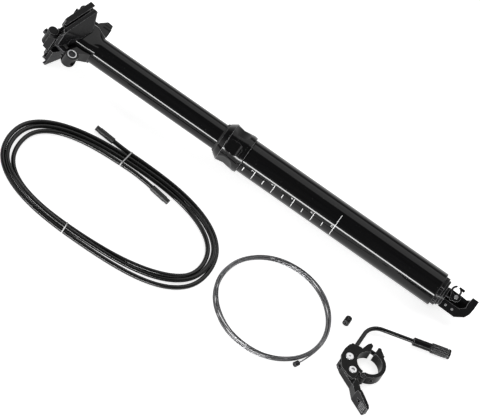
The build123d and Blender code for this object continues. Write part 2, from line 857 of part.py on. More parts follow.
def make_remote_body():
    body = ring_sector(bar_radius, band_radius, body_start, body_end, 0, band_width)
    bar = upright(bar_radius, 0, 0, -overrun, band_width + overrun)
    body += slab(band_scaled(body_lug_shares), 0, band_width) - bar
    deck_low = band_width - deck_thickness
    deck = slab(band_scaled(deck_shares), deck_low, band_width, deck_corner)
    body += deck - upright(bar_radius + band_wall / 2, 0, 0, -overrun, band_width + overrun)
    column = [(column_left, column_near), (column_right, column_near)]
    column += [(column_right, column_far), (column_left, column_far)]
    body += slab(column, column_low, band_width, column_corner)
    body += upright(cover_boss_radius, cover_x, cover_y, cover_bolt_foot - side_gap, band_width)
    body -= hinge_room(-overrun, knuckle_low)
    body -= hinge_room(knuckle_high, band_width + overrun)
    body += upright(knuckle_radius, hinge_x, hinge_y, knuckle_low, knuckle_high) \
        - upright(bar_radius, 0, 0, 0, band_width)
    body -= upright(hinge_pin_radius + seat_gap, hinge_x, hinge_y, -overrun, band_width + overrun)
    body -= Pos(0, pinch_y, band_width / 2) * rod(pinch_radius + running_gap, -2 * band_radius, 0)
    body -= upright(pivot_bolt_radius + running_gap, lever_x, lever_y, 0, band_width + overrun)
    body -= upright(cover_bolt_radius + seat_gap, cover_x, cover_y, 0, band_width + overrun)
    bore = Rot(0, 0, 90) * rod(guide_radius + running_gap, guide_start, 2 * column_far)
    bore += Rot(0, 0, 90) * rod(guide_bore, -column_far, guide_start)
    return body - Pos(guide_x, 0, guide_z) * bore


def make_clamp_band():
    band = ring_sector(bar_radius, band_radius, clamp_start, clamp_end, 0, band_width)
    bar = upright(bar_radius, 0, 0, -overrun, band_width + overrun)
    band += slab(band_scaled(clamp_lug_shares), 0, band_width) - bar
    band -= hinge_room(knuckle_low - knuckle_gap, knuckle_high + knuckle_gap)
    bore = upright(bar_radius, 0, 0, 0, band_width)
    band += upright(knuckle_radius, hinge_x, hinge_y, 0, knuckle_low - knuckle_gap) - bore
    band += upright(knuckle_radius, hinge_x, hinge_y, knuckle_high + knuckle_gap, band_width) - bore
    band -= upright(hinge_pin_radius + running_gap, hinge_x, hinge_y, -overrun, band_width + overrun)
    axis = Pos(0, pinch_y, band_width / 2)
    band -= axis * rod(pinch_radius + pinch_room, -band_wall, band_radius)
    seat = pinch_seat_x - bolt_gap
    band -= axis * rod(pinch_head_radius + pinch_head_room, seat, 2 * band_radius)
    hole = block(band_radius - band_socket_depth, 2 * band_radius, -band_socket / 2, band_socket / 2,
                 (band_width - band_socket) / 2, (band_width + band_socket) / 2)
    return band - Rot(0, 0, band_socket_angle) * hole


def make_pinch_bolt():
    bolt = rod(pinch_radius, pinch_end_x, pinch_seat_x)
    head_end = pinch_seat_x + pinch_head_height
    bolt += rod(pinch_head_radius, pinch_seat_x, head_end)
    bolt -= Pos(head_end, 0, 0) * Rot(0, 0, 180) * socket(small_socket_radius, socket_depth, 0)
    return Pos(0, pinch_y, band_width / 2) * bolt


def paddle_plane():
    slope = math.radians(paddle_slope)
    start = band_scaled(lever_shares)[5]
    return Plane(
        origin=(start[0], start[1], 0),
        x_dir=(math.cos(slope), math.sin(slope), 0),
        z_dir=(math.sin(slope), -math.cos(slope), 0),
    )


def make_paddle():
    plane = paddle_plane()
    points = [(paddle_length * a, paddle_low + paddle_height * b) for a, b in paddle_shares]
    paddle = extrude(plane * outline(points, paddle_corner / 2), -paddle_thickness)
    window = [(paddle_length * a, paddle_height * b) for a, b in paddle_window_shares]
    cut = extrude(plane.offset(overrun) * outline(window, paddle_corner), -2 * paddle_thickness)
    paddle -= cut
    step = (groove_last_share - groove_first_share) / (groove_count - 1)
    for number in range(groove_count):
        middle = paddle_length * (groove_first_share + step * number)
        low = paddle_height * groove_foot_share
        high = paddle_height * groove_head_share
        points = [(middle - groove_half, low), (middle + groove_half, low)]
        points += [(middle + groove_half, high), (middle - groove_half, high)]
        paddle -= extrude(plane.offset(overrun) * outline(points), -overrun - groove_depth)
    return paddle


def make_remote_lever():
    points = band_scaled(lever_shares)
    lever = slab(points, lever_low, lever_high, lever_corner)
    lever += upright(lever_hub, lever_x, lever_y, lever_low, lever_high)
    high = slab(points, lever_low, lever_raised, lever_corner)
    reach = 2 * band_radius
    high -= block(-2 * reach, lever_step_x, -3 * reach, reach, -overrun, lever_raised + overrun)
    lever += high + make_paddle()
    recess = spring_height - spring_wire - side_gap
    lever -= upright(spring_room, lever_x, lever_y, recess, lever_high + overrun)
    lever -= upright(bush_radius + running_gap, lever_x, lever_y, 0, lever_high)
    place = Pos(cable_screw_x, cable_screw_y, cable_screw_height) * Rot(0, 0, cable_screw_turn)
    lever -= place * rod(cable_screw_shank + seat_gap, -cable_screw_depth - side_gap, 0)
    lever -= place * rod(cable_screw_radius + side_gap, -seat_gap, 2 * cable_screw_radius)
    clear = Rot(0, 0, 90) * rod(guide_bore, -band_radius, 0)
    return lever - Pos(guide_x, 0, guide_z) * clear


def make_cable_clamp_screw():
    place = Pos(cable_screw_x, cable_screw_y, cable_screw_height) * Rot(0, 0, cable_screw_turn)
    screw = rod(cable_screw_shank, -cable_screw_depth, 0) + rod(cable_screw_radius, 0, cable_screw_head)
    return place * screw


def make_lever_bush():
    high = band_width - deck_thickness - seat_gap
    bush = upright(bush_radius, lever_x, lever_y, bush_foot, high)
    bush += upright(bush_flange_radius, lever_x, lever_y, bush_foot, bush_foot + bush_flange)
    return bush - upright(pivot_bolt_radius + seat_gap, lever_x, lever_y, 0, high + overrun)


def make_deck_screw(x, y, radius, foot):
    screw = upright(radius, x, y, foot, band_width)
    disc = upright(disc_radius, x, y, band_width, band_width + disc_height)
    disc = chamfer(disc.edges().filter_by(GeomType.CIRCLE).group_by(Axis.Z)[-1], chamfer_size)
    return screw + disc


def make_lever_pivot_bolt():
    screw = make_deck_screw(lever_x, lever_y, pivot_bolt_radius, pivot_bolt_foot)
    hole = extrude(RegularPolygon(small_socket_radius, 6), socket_depth)
    hole = Pos(lever_x, lever_y, band_width) * hole
    return screw - hole


def make_cover_screw():
    screw = make_deck_screw(cover_x, cover_y, cover_bolt_radius, cover_bolt_foot)
    dimple = Pos(cover_x, cover_y, band_width + disc_height) * Sphere(cover_bolt_radius / 2)
    return screw - dimple


def make_lever_spring():
    # One wound loop of wire round the bush, with its two short legs bent out.
    end = spring_start + spring_sweep
    corners = []
    for angle in (spring_start, (spring_start + end) / 2, end):
        turn = math.radians(angle)
        corners.append((spring_radius * math.cos(turn), spring_radius * math.sin(turn), 0))
    loop = ThreePointArc(*corners)
    first = Vector(*corners[0])
    start_dir = loop % 0
    wire = sweep(Plane(origin=first, z_dir=start_dir) * Circle(spring_wire), path=loop)
    for corner in (corners[0], corners[2]):
        out = Vector(*corner).normalized()
        foot = Vector(*corner) - out * (spring_wire / 2)
        leg = Plane(origin=foot, z_dir=out) * Circle(spring_wire)
        wire += extrude(leg, spring_leg)
    return Pos(lever_x, lever_y, spring_height) * wire


def make_hinge_pin():
    return upright(hinge_pin_radius, hinge_x, hinge_y, chamfer_size / 2, band_width - chamfer_size / 2)


def guide_points():
    corner = Vector(guide_x, guide_corner_y, guide_z)
    heading = math.radians(guide_heading)
    along = Vector(math.cos(heading), math.sin(heading), 0)
    run = guide_bend * math.tan(math.radians((90 - guide_heading) / 2))
    return corner, along, run


def make_guide_tube():
    corner, along, run = guide_points()
    up = Vector(0, 1, 0)
    foot = Vector(guide_x, guide_start, guide_z)
    bend_start = corner - up * run
    bend_end = corner + along * run
    end = corner + along * (sleeve_reach + sleeve_overlap)
    path = Line(foot, bend_start) + TangentArc(bend_start, bend_end, tangent=up) + Line(bend_end, end)
    face = Plane(origin=foot, z_dir=up) * Circle(guide_radius)
    hole = Plane(origin=foot, z_dir=up) * Circle(guide_bore)
    return sweep(face, path=path) - sweep(hole, path=path)


def adjuster_place():
    # x runs along the adjuster, from where its sleeve starts.
    corner, along, run = guide_points()
    start = corner + along * sleeve_reach
    return Pos(start.X, start.Y, start.Z) * Rot(0, 0, guide_heading)


def make_adjuster_sleeve():
    sleeve = chamfer(rod(sleeve_radius, 0, sleeve_length).edges().filter_by(GeomType.CIRCLE), chamfer_size)
    sleeve -= rod(guide_radius + seat_gap, -overrun, sleeve_overlap + seat_gap)
    sleeve -= rod(guide_bore, 0, sleeve_length)
    stem_start = sleeve_length - knob_stem_length - side_gap
    return sleeve - rod(knob_stem_radius + running_gap, stem_start, sleeve_length + overrun)


def make_adjuster_knob():
    start = sleeve_length + bolt_gap
    end = start + knob_length
    knob = chamfer(rod(knob_radius, start, end).edges().filter_by(GeomType.CIRCLE), chamfer_size)
    rib_end = end - knob_lip
    for number in range(knob_ribs):
        rib = Pos(0, knob_radius, 0) * rod(knob_rib_radius, start + knob_lip / 2, rib_end)
        knob -= Rot(360 * number / knob_ribs, 0, 0) * rib
    knob -= pipe(2 * knob_radius, knob_lip_radius, rib_end, rib_end + knob_lip / 3)
    knob += rod(knob_stem_radius, sleeve_length - knob_stem_length, start)
    knob -= rod(housing_bore, end - adjuster_bore_depth, end + overrun)
    return knob - rod(guide_bore, sleeve_length - knob_stem_length - overrun, end)


def biarc(start, start_dir, end, end_dir):
    # Two arcs that leave one point and reach another in the given, square directions.
    reach = end - start
    along = reach.dot(start_dir + end_dir)
    step = (math.sqrt(along**2 + 2 * reach.dot(reach)) - along) / 2
    first = start + start_dir * step
    second = end - end_dir * step
    joint = (first + second) / 2
    middle = (second - first).normalized()
    return [TangentArc(start, joint, tangent=start_dir), TangentArc(joint, end, tangent=middle)]


def housing_corner(quarter):
    # The route crosses the coil's two axes once a quarter turn, each time further in.
    turn = quarter / 4
    long = housing_half_long - housing_pitch_long * turn
    short = housing_half_short - housing_pitch_short * turn
    places = ((0, short), (long, 0), (0, -short), (-long, 0))
    heads = ((1, 0), (0, -1), (-1, 0), (0, 1))
    return Vector(*places[quarter % 4], 0), Vector(*heads[quarter % 4], 0)


def arc_from(point, heading, radius, turn):
    # A level arc from a point, bending to the right by some degrees: its end and last heading.
    right = Vector(heading.Y, -heading.X, 0)
    angle = math.radians(turn)
    shift = heading * (radius * math.sin(angle)) + right * (radius * (1 - math.cos(angle)))
    return point + shift, heading * math.cos(angle) + right * math.sin(angle)


def housing_route():
    start, heading = housing_corner(0)
    back, back_heading = arc_from(start, -heading, tail_out_radius, tail_out_turn)
    tip = back + back_heading * (2 * housing_radius)
    edges = [Line(tip, back), TangentArc(back, start, tangent=-back_heading)]
    for quarter in range(4 * housing_turns):
        first, first_dir = housing_corner(quarter)
        last, last_dir = housing_corner(quarter + 1)
        edges += biarc(first, first_dir, last, last_dir)
    end, heading = housing_corner(4 * housing_turns)
    far, far_heading = arc_from(end, heading, tail_in_radius, tail_in_turn)
    edges.append(TangentArc(end, far, tangent=heading))
    finish = far + far_heading * (2 * housing_radius)
    edges.append(Line(far, finish))
    return edges, (tip, back_heading), (finish, far_heading)


def cable_route():
    # Level half turns on two centres: inwards on top, down one layer, then outwards below.
    edges = []
    top = cable_radius + cable_pitch
    x = cable_loop_radius
    side = 1
    radius = cable_loop_radius
    half_turns = 2 * cable_turns
    heading = Vector(0, 1, 0)
    start = Vector(x, 0, top)
    back, back_heading = arc_from(start, -heading, cable_tail_radius, cable_tail_turn)
    tip = back + back_heading * (2 * cable_radius)
    edges = [Line(tip, back), TangentArc(back, start, tangent=-back_heading)]
    for number in range(2 * half_turns + 1):
        high = top if number <= half_turns else cable_radius
        low = top if number < half_turns else cable_radius
        span = 2 * radius
        swing = math.hypot(span, high - low) / 2
        middle = Vector(x - side * radius, side * swing, (high + low) / 2)
        finish = Vector(x - side * span, 0, low)
        edges.append(ThreePointArc(Vector(x, 0, high), middle, finish))
        x = x - side * span
        side = -side
        radius += -cable_pitch / 2 if number < half_turns else cable_pitch / 2
    return edges, (tip, back_heading)


def least_gap(name, edges, radius):
    # The least gap of a wound tube to itself, measured on points along its route.
    points = []
    along = 0
    for edge in edges:
        steps = max(2, int(edge.length / radius / 2))
        for step in range(steps):
            place = edge @ (step / steps)
            points.append((along + edge.length * step / steps, place.X, place.Y, place.Z))
        along += edge.length
    least = math.inf
    for number, here in enumerate(points):
        for other in points[number + 1:]:
            if other[0] - here[0] > 12 * radius:
                gap = math.dist(here[1:], other[1:]) - 2 * radius
                least = min(least, gap)
    print(name, "length", round(along, 1), "least gap to itself", round(least, 2))


def wound_tube(edges, radius):
    first = edges[0]
    face = Plane(origin=first @ 0, z_dir=first % 0) * Circle(radius)
    return sweep(face, path=Wire(edges))


def ferrule(end, heading):
    # A sleeve whose narrow tip points away from the housing.
    turn = math.degrees(math.atan2(heading.Y, heading.X))
    body = rod(ferrule_radius, 0, ferrule_length - ferrule_tip)
    body += rod(ferrule_tip_radius, ferrule_length - ferrule_tip, ferrule_length)
    rims = body.edges().filter_by(GeomType.CIRCLE).group_by(Axis.X)
    body = chamfer(rims[-1], chamfer_size / 2)
    return Pos(end.X, end.Y, end.Z) * Rot(0, 0, turn) * body


def tie(x, edges, side):
    # A strap round every strand that crosses this place on one side of the coil.
    places = []
    for edge in edges:
        for step in range(200):
            place = edge @ (step / 200)
            if abs(place.X - x) < housing_radius and place.Y * side > 0:
                places.append(place.Y)
    low = min(places) - housing_radius - tie_gap
    high = max(places) + housing_radius + tie_gap
    height = 2 * (housing_radius + tie_gap)
    grown = 2 * tie_thickness
    corner = housing_radius / 2
    outer = RectangleRounded(high - low + grown, height + grown, corner + tie_thickness)
    inner = RectangleRounded(high - low, height, corner)
    face = Plane.YZ * Pos((low + high) / 2, 0) * (outer - inner)
    return Pos(x - tie_width / 2, 0, 0) * extrude(face, tie_width, dir=(1, 0, 0))


def make_cable_barrel():
    body = rod(barrel_radius, 0, barrel_length)
    ends = body.edges().filter_by(GeomType.CIRCLE).group_by(Axis.X)
    body = fillet(ends[-1], barrel_round)
    body = body - rod(barrel_hole, -overrun, barrel_hole_depth)
    cross_x = (barrel_hole_depth + grub_length) / 2
    return body - upright(barrel_cross_hole, cross_x, 0, -barrel_length, barrel_length)


def make_barrel_grub_screw():
    start = side_gap
    end = start + grub_length
    return rod(grub_radius, start, end) - socket(grub_socket, grub_socket_depth, start)


def save_post():
    save("lower_tube", make_lower_tube(), post_place)
    save("seal_collar", make_seal_collar(), post_place)
    save("wiper_seal", make_wiper_seal(), post_place)
    save("upper_bushing", make_upper_bushing(), post_place)
    save("lower_bushing", make_lower_bushing(), post_place)
    save("key_pins", make_key_pins(), post_place)
    save("foot_cap", make_foot_cap(), post_place)
    save("lock_ring", make_lock_ring(), post_place)
    save("cartridge_rod", make_cartridge_rod(), post_place)
    save("rod_piston", make_rod_piston(), post_place)
    save("valve_pin", rod(valve_pin_radius, valve_pin_start, valve_pin_end), post_place)
    save("gas_cartridge", make_gas_cartridge(), post_place)
    save("cartridge_gland", make_cartridge_gland(), post_place)
    save("actuator_bracket", make_bracket(), bracket_place)
    save("bracket_pins", make_bracket_pins(), bracket_place)
    save("cam_pivot_pin", make_cam_pivot_pin(), bracket_place)
    save("actuator_cam", make_cam(), bracket_place)


def save_head():
    save("upper_post", make_upper_post(), post_place)
    save("front_bolt", make_front_bolt(), post_place)
    save("rear_bolt", make_rear_bolt(), rear_place)
    save("rear_barrel_washer", make_barrel_washer(), rear_place)
    save("front_nut", make_nut(front_nut_offset, lean), clamp_place)
    save("rear_nut", make_nut(-rear_nut_offset, 0), clamp_place)
    save("rail_clamp_plate", make_rail_clamp_plate(), clamp_place)
    save("rail_cradle", make_rail_cradle(), clamp_place)


def save_remote():
    save("remote_body", make_remote_body(), remote_place)
    save("clamp_band", make_clamp_band(), remote_place)
    save("band_hinge_pin", make_hinge_pin(), remote_place)
    save("pinch_bolt", make_pinch_bolt(), remote_place)
    save("remote_lever", make_remote_lever(), remote_place)
    save("lever_pivot_bolt", make_lever_pivot_bolt(), remote_place)
    save("lever_bush", make_lever_bush(), remote_place)
    save("lever_spring", make_lever_spring(), remote_place)
    save("cover_screw", make_cover_screw(), remote_place)
    save("cable_clamp_screw", make_cable_clamp_screw(), remote_place)
    save("guide_tube", make_guide_tube(), remote_place)
    save("adjuster_sleeve", make_adjuster_sleeve(), remote_place * adjuster_place())
    save("adjuster_knob", make_adjuster_knob(), remote_place * adjuster_place())


def save_loose():
    place = Pos(housing_x, housing_y, floor_z + housing_radius + housing_lift)
    edges, outer_end, inner_end = housing_route()
    least_gap("housing", edges, housing_radius)
    save("housing_coil", wound_tube(edges, housing_radius), place)
    save("housing_ferrule_a", ferrule(*outer_end), place)
    save("housing_ferrule_b", ferrule(*inner_end), place)
    ties = [tie(far_tie_x, edges, 1), tie(near_tie_x, edges, -1)]
    save("bundle_ties", together(ties), place)
    place = Pos(cable_x, cable_y, floor_z)
    edges, cable_end = cable_route()
    least_gap("cable", edges, cable_radius)
    save("cable_coil", wound_tube(edges, cable_radius), place)
    end, heading = cable_end
    turn = math.degrees(math.atan2(heading.Y, heading.X))
    head = Pos(end.X, end.Y, end.Z) * Rot(0, 0, turn) * rod(head_radius, 0, head_length)
    save("cable_head", head, place)
    place = Pos(barrel_x, barrel_y - barrel_length / 2, floor_z + barrel_radius) * Rot(0, 0, 90)
    save("cable_barrel", make_cable_barrel(), place)
    save("barrel_grub_screw", make_barrel_grub_screw(), place)


save_post()
save_head()
save_remote()
save_loose()
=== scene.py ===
import math
import bpy
from mathutils import Matrix, Vector


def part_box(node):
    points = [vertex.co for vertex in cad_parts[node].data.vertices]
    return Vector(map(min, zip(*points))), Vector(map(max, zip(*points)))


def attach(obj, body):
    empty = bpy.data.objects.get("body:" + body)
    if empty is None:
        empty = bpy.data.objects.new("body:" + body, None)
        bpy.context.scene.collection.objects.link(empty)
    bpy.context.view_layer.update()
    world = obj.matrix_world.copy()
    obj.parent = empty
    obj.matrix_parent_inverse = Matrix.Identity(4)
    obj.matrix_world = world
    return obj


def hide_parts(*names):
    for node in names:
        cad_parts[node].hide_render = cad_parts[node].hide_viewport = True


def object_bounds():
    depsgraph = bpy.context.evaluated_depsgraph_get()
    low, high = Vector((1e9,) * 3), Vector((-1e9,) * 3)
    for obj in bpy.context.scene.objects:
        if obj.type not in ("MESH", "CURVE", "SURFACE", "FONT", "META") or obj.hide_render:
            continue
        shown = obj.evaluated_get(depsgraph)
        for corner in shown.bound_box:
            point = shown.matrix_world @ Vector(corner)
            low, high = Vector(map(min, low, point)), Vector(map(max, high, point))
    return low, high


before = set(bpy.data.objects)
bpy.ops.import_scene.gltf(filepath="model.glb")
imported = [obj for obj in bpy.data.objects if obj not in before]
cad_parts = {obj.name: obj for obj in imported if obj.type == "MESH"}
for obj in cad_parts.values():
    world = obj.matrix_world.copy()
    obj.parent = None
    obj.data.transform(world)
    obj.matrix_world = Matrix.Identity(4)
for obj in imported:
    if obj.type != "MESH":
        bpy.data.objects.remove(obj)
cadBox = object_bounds()
mm = 0.001
floorZ = cadBox[0][2]
print("frame loaded, floor at", round(floorZ, 5))

# The camera looks down at the pieces laid out on the floor, from far away.
cameraView = {"target": (20.8, -35.6, -21.1), "distance": 9000.0, "elevation": 50.0,
              "yaw": 1.98, "roll": 32.42, "lens": 810.0, "sensor": 36.0, "reach": 50.0}


def addCamera(view):
    tilt, yaw, roll = (math.radians(view[k]) for k in ("elevation", "yaw", "roll"))
    right = Vector((math.cos(yaw), math.sin(yaw), 0))
    back = Vector((math.sin(yaw) * math.cos(tilt), -math.cos(yaw) * math.cos(tilt), math.sin(tilt)))
    up = back.cross(right)
    across = right * math.cos(roll) + up * math.sin(roll)
    upward = up * math.cos(roll) - right * math.sin(roll)
    camera = bpy.data.objects.new("photoCamera", bpy.data.cameras.new("photoCamera"))
    camera.data.lens = view["lens"]
    camera.data.sensor_width = view["sensor"]
    camera.data.clip_end = view["reach"]
    place = Vector(view["target"]) * mm + back * view["distance"] * mm
    turn = Matrix((across, upward, back)).transposed()
    camera.matrix_world = Matrix.Translation(place) @ turn.to_4x4()
    bpy.context.collection.objects.link(camera)
    bpy.context.scene.camera = camera


addCamera(cameraView)
print("camera placed")


# Small helpers for building materials.
def newGroup(name, inputs, outputs):
    group = bpy.data.node_groups.new(name, "ShaderNodeTree")
    for label, value in inputs:
        socket = group.interface.new_socket(name=label, in_out="INPUT", socket_type="NodeSocketFloat")
        socket.default_value = value
    for label, kind in outputs:
        group.interface.new_socket(name=label, in_out="OUTPUT", socket_type=kind)
    return group, group.nodes.new("NodeGroupInput"), group.nodes.new("NodeGroupOutput")


def calc(tree, operation, first, second=None):
    node = tree.nodes.new("ShaderNodeMath")
    node.operation = operation
    for socket, value in zip(node.inputs, (first, second)):
        if isinstance(value, (int, float)):
            socket.default_value = value
        elif value is not None:
            tree.links.new(value, socket)
    return node.outputs[0]


def noise(tree, vector, scale, detail=3.0, rough=0.5):
    node = tree.nodes.new("ShaderNodeTexNoise")
    node.inputs["Detail"].default_value = detail
    node.inputs["Roughness"].default_value = rough
    tree.links.new(vector, node.inputs["Vector"])
    if isinstance(scale, (int, float)):
        node.inputs["Scale"].default_value = scale
    else:
        tree.links.new(scale, node.inputs["Scale"])
    return node.outputs["Fac"]


def spread(tree, value, low, high, outLow=0.0, outHigh=1.0):
    node = tree.nodes.new("ShaderNodeMapRange")
    tree.links.new(value, node.inputs["Value"])
    for label, amount in (("From Min", low), ("From Max", high), ("To Min", outLow), ("To Max", outHigh)):
        if isinstance(amount, (int, float)):
            node.inputs[label].default_value = amount
        else:
            tree.links.new(amount, node.inputs[label])
    return node.outputs["Result"]


def blendTones(tree, share, first, second):
    node = tree.nodes.new("ShaderNodeMix")
    node.data_type = "RGBA"
    tree.links.new(share, node.inputs["Factor"])
    for socket, tone in ((node.inputs["A"], first), (node.inputs["B"], second)):
        if isinstance(tone, tuple):
            socket.default_value = (*tone, 1.0)
        else:
            tree.links.new(tone, socket)
    return node.outputs["Result"]


def partCoords(tree):
    node = tree.nodes.new("ShaderNodeTexCoord")
    return node.outputs["Object"]


def newFinish(name):
    finish = bpy.data.materials.new(name)
    finish.use_nodes = True
    return finish.node_tree, finish.node_tree.nodes["Principled BSDF"]


# Effects that several materials share, and the values that shape them.
noiseRange = (0.35, 0.65)  # most of a noise's values lie between these
grainLook = {"fine": 0.55, "fineDetail": 2.0, "patch": 0.45, "patchDetail": 4.0, "lineDetail": 3.0,
             "lineRough": 0.6}
threadRange = (0.05, 0.45)  # from the root to the crest, in turns
edgeLook = {"samples": 6, "flat": 0.995, "sharp": 0.8}
handling = {"smudgeDetail": 5.0, "smudgeRough": 0.62, "smudge": (0.4, 0.7), "cells": 420.0,
            "speck": (0.16, 0.05), "patches": 170.0, "fewDetail": 1.0, "few": (0.6, 0.68)}
grooveRange = (-1.0, -0.4)


def buildSurfaceGrain():
    # Fine blasted or anodised grain: a tone value and a height.
    group, given, out = newGroup("surfaceGrain", (("Scale", 1500.0), ("Patch Scale", 60.0)),
                                 (("Value", "NodeSocketFloat"), ("Height", "NodeSocketFloat")))
    coords = partCoords(group)
    fine = noise(group, coords, given.outputs["Scale"], grainLook["fineDetail"])
    patch = noise(group, coords, given.outputs["Patch Scale"], grainLook["patchDetail"])
    both = calc(group, "ADD", calc(group, "MULTIPLY", fine, grainLook["fine"]),
                calc(group, "MULTIPLY", patch, grainLook["patch"]))
    group.links.new(spread(group, both, *noiseRange), out.inputs["Value"])
    group.links.new(fine, out.inputs["Height"])


def buildDrawnLines():
    # Faint lines along x, as drawing, turning and polishing leave on a tube.
    group, given, out = newGroup("drawnLines", (("Scale", 900.0), ("Stretch", 40.0)),
                                 (("Value", "NodeSocketFloat"), ("Height", "NodeSocketFloat")))
    split = group.nodes.new("ShaderNodeSeparateXYZ")
    group.links.new(partCoords(group), split.inputs[0])
    merge = group.nodes.new("ShaderNodeCombineXYZ")
    group.links.new(calc(group, "DIVIDE", split.outputs["X"], given.outputs["Stretch"]), merge.inputs["X"])
    group.links.new(split.outputs["Y"], merge.inputs["Y"])
    group.links.new(split.outputs["Z"], merge.inputs["Z"])
    lines = noise(group, merge.outputs[0], given.outputs["Scale"], grainLook["lineDetail"],
                  grainLook["lineRough"])
    group.links.new(spread(group, lines, *noiseRange), out.inputs["Value"])
    group.links.new(lines, out.inputs["Height"])


def buildScrewThread():
    # Ridges that follow one another along z, as on a screw; the scale is their pitch in metres.
    group, given, out = newGroup("screwThread", (("Scale", 0.0008),),
                                 (("Value", "NodeSocketFloat"), ("Height", "NodeSocketFloat")))
    split = group.nodes.new("ShaderNodeSeparateXYZ")
    group.links.new(partCoords(group), split.inputs[0])
    turn = calc(group, "DIVIDE", split.outputs["Z"], given.outputs["Scale"])
    ridge = calc(group, "PINGPONG", turn, 0.5)
    group.links.new(spread(group, ridge, *threadRange), out.inputs["Value"])
    group.links.new(ridge, out.inputs["Height"])


def buildRoundedEdge():
    # A soft rounding of the edges, and a mask of where they are; the mask places the painted highlight
    # along the edges.
    group, given, out = newGroup("roundedEdge", (("Radius", 0.0003),),
                                 (("Normal", "NodeSocketVector"), ("Edge", "NodeSocketFloat")))
    bevel = group.nodes.new("ShaderNodeBevel")
    bevel.samples = edgeLook["samples"]
    group.links.new(given.outputs["Radius"], bevel.inputs["Radius"])
    plain = group.nodes.new("ShaderNodeNewGeometry")
    dot = group.nodes.new("ShaderNodeVectorMath")
    dot.operation = "DOT_PRODUCT"
    group.links.new(bevel.outputs["Normal"], dot.inputs[0])
    group.links.new(plain.outputs["Normal"], dot.inputs[1])
    group.links.new(bevel.outputs["Normal"], out.inputs["Normal"])
    edge = spread(group, dot.outputs["Value"], edgeLook["flat"], edgeLook["sharp"])
    group.links.new(edge, out.inputs["Edge"])


def buildHandling():
    # Soft smudges from handling and a few specks of dust.
    group, given, out = newGroup("handlingMarks", (("Scale", 45.0), ("Dust", 0.5)),
                                 (("Smudge", "NodeSocketFloat"), ("Speck", "NodeSocketFloat")))
    coords = partCoords(group)
    smudge = noise(group, coords, given.outputs["Scale"], handling["smudgeDetail"], handling["smudgeRough"])
    cells = group.nodes.new("ShaderNodeTexVoronoi")
    cells.inputs["Scale"].default_value = handling["cells"]
    group.links.new(coords, cells.inputs["Vector"])
    specks = spread(group, cells.outputs["Distance"], *handling["speck"])
    few = spread(group, noise(group, coords, handling["patches"], handling["fewDetail"]), *handling["few"])
    dust = calc(group, "MULTIPLY", calc(group, "MULTIPLY", specks, few), given.outputs["Dust"])
    group.links.new(spread(group, smudge, *handling["smudge"]), out.inputs["Smudge"])
    group.links.new(dust, out.inputs["Speck"])


def buildWindingRibs():
    # Ribs or twisted strands on a cord, along its own length (u, metres) and round it (v), with a mask of
    # the grooves between them where painted shade goes.
    group, given, out = newGroup("windingRibs", (("Pitch", 0.002), ("Strands", 0.0)),
                                 (("Height", "NodeSocketFloat"), ("Groove", "NodeSocketFloat")))
    place = group.nodes.new("ShaderNodeUVMap")
    place.uv_map = "alongCord"
    split = group.nodes.new("ShaderNodeSeparateXYZ")
    group.links.new(place.outputs["UV"], split.inputs[0])
    along = calc(group, "DIVIDE", split.outputs["X"], given.outputs["Pitch"])
    around = calc(group, "MULTIPLY", split.outputs["Y"], given.outputs["Strands"])
    turn = calc(group, "MULTIPLY", calc(group, "ADD", along, around), 2 * math.pi)
    wave = calc(group, "SINE", turn)
    group.links.new(calc(group, "ABSOLUTE", calc(group, "SINE", calc(group, "DIVIDE", turn, 2.0))),
                    out.inputs["Height"])
    group.links.new(spread(group, wave, *grooveRange, 1.0, 0.0), out.inputs["Groove"])


for build in (buildSurfaceGrain, buildDrawnLines, buildScrewThread, buildRoundedEdge,
              buildHandling, buildWindingRibs):
    build()


def useGroup(tree, name, **values):
    node = tree.nodes.new("ShaderNodeGroup")
    node.node_tree = bpy.data.node_groups[name]
    for label, value in values.items():
        node.inputs[label.replace("_", " ")].default_value = value
    return node.outputs
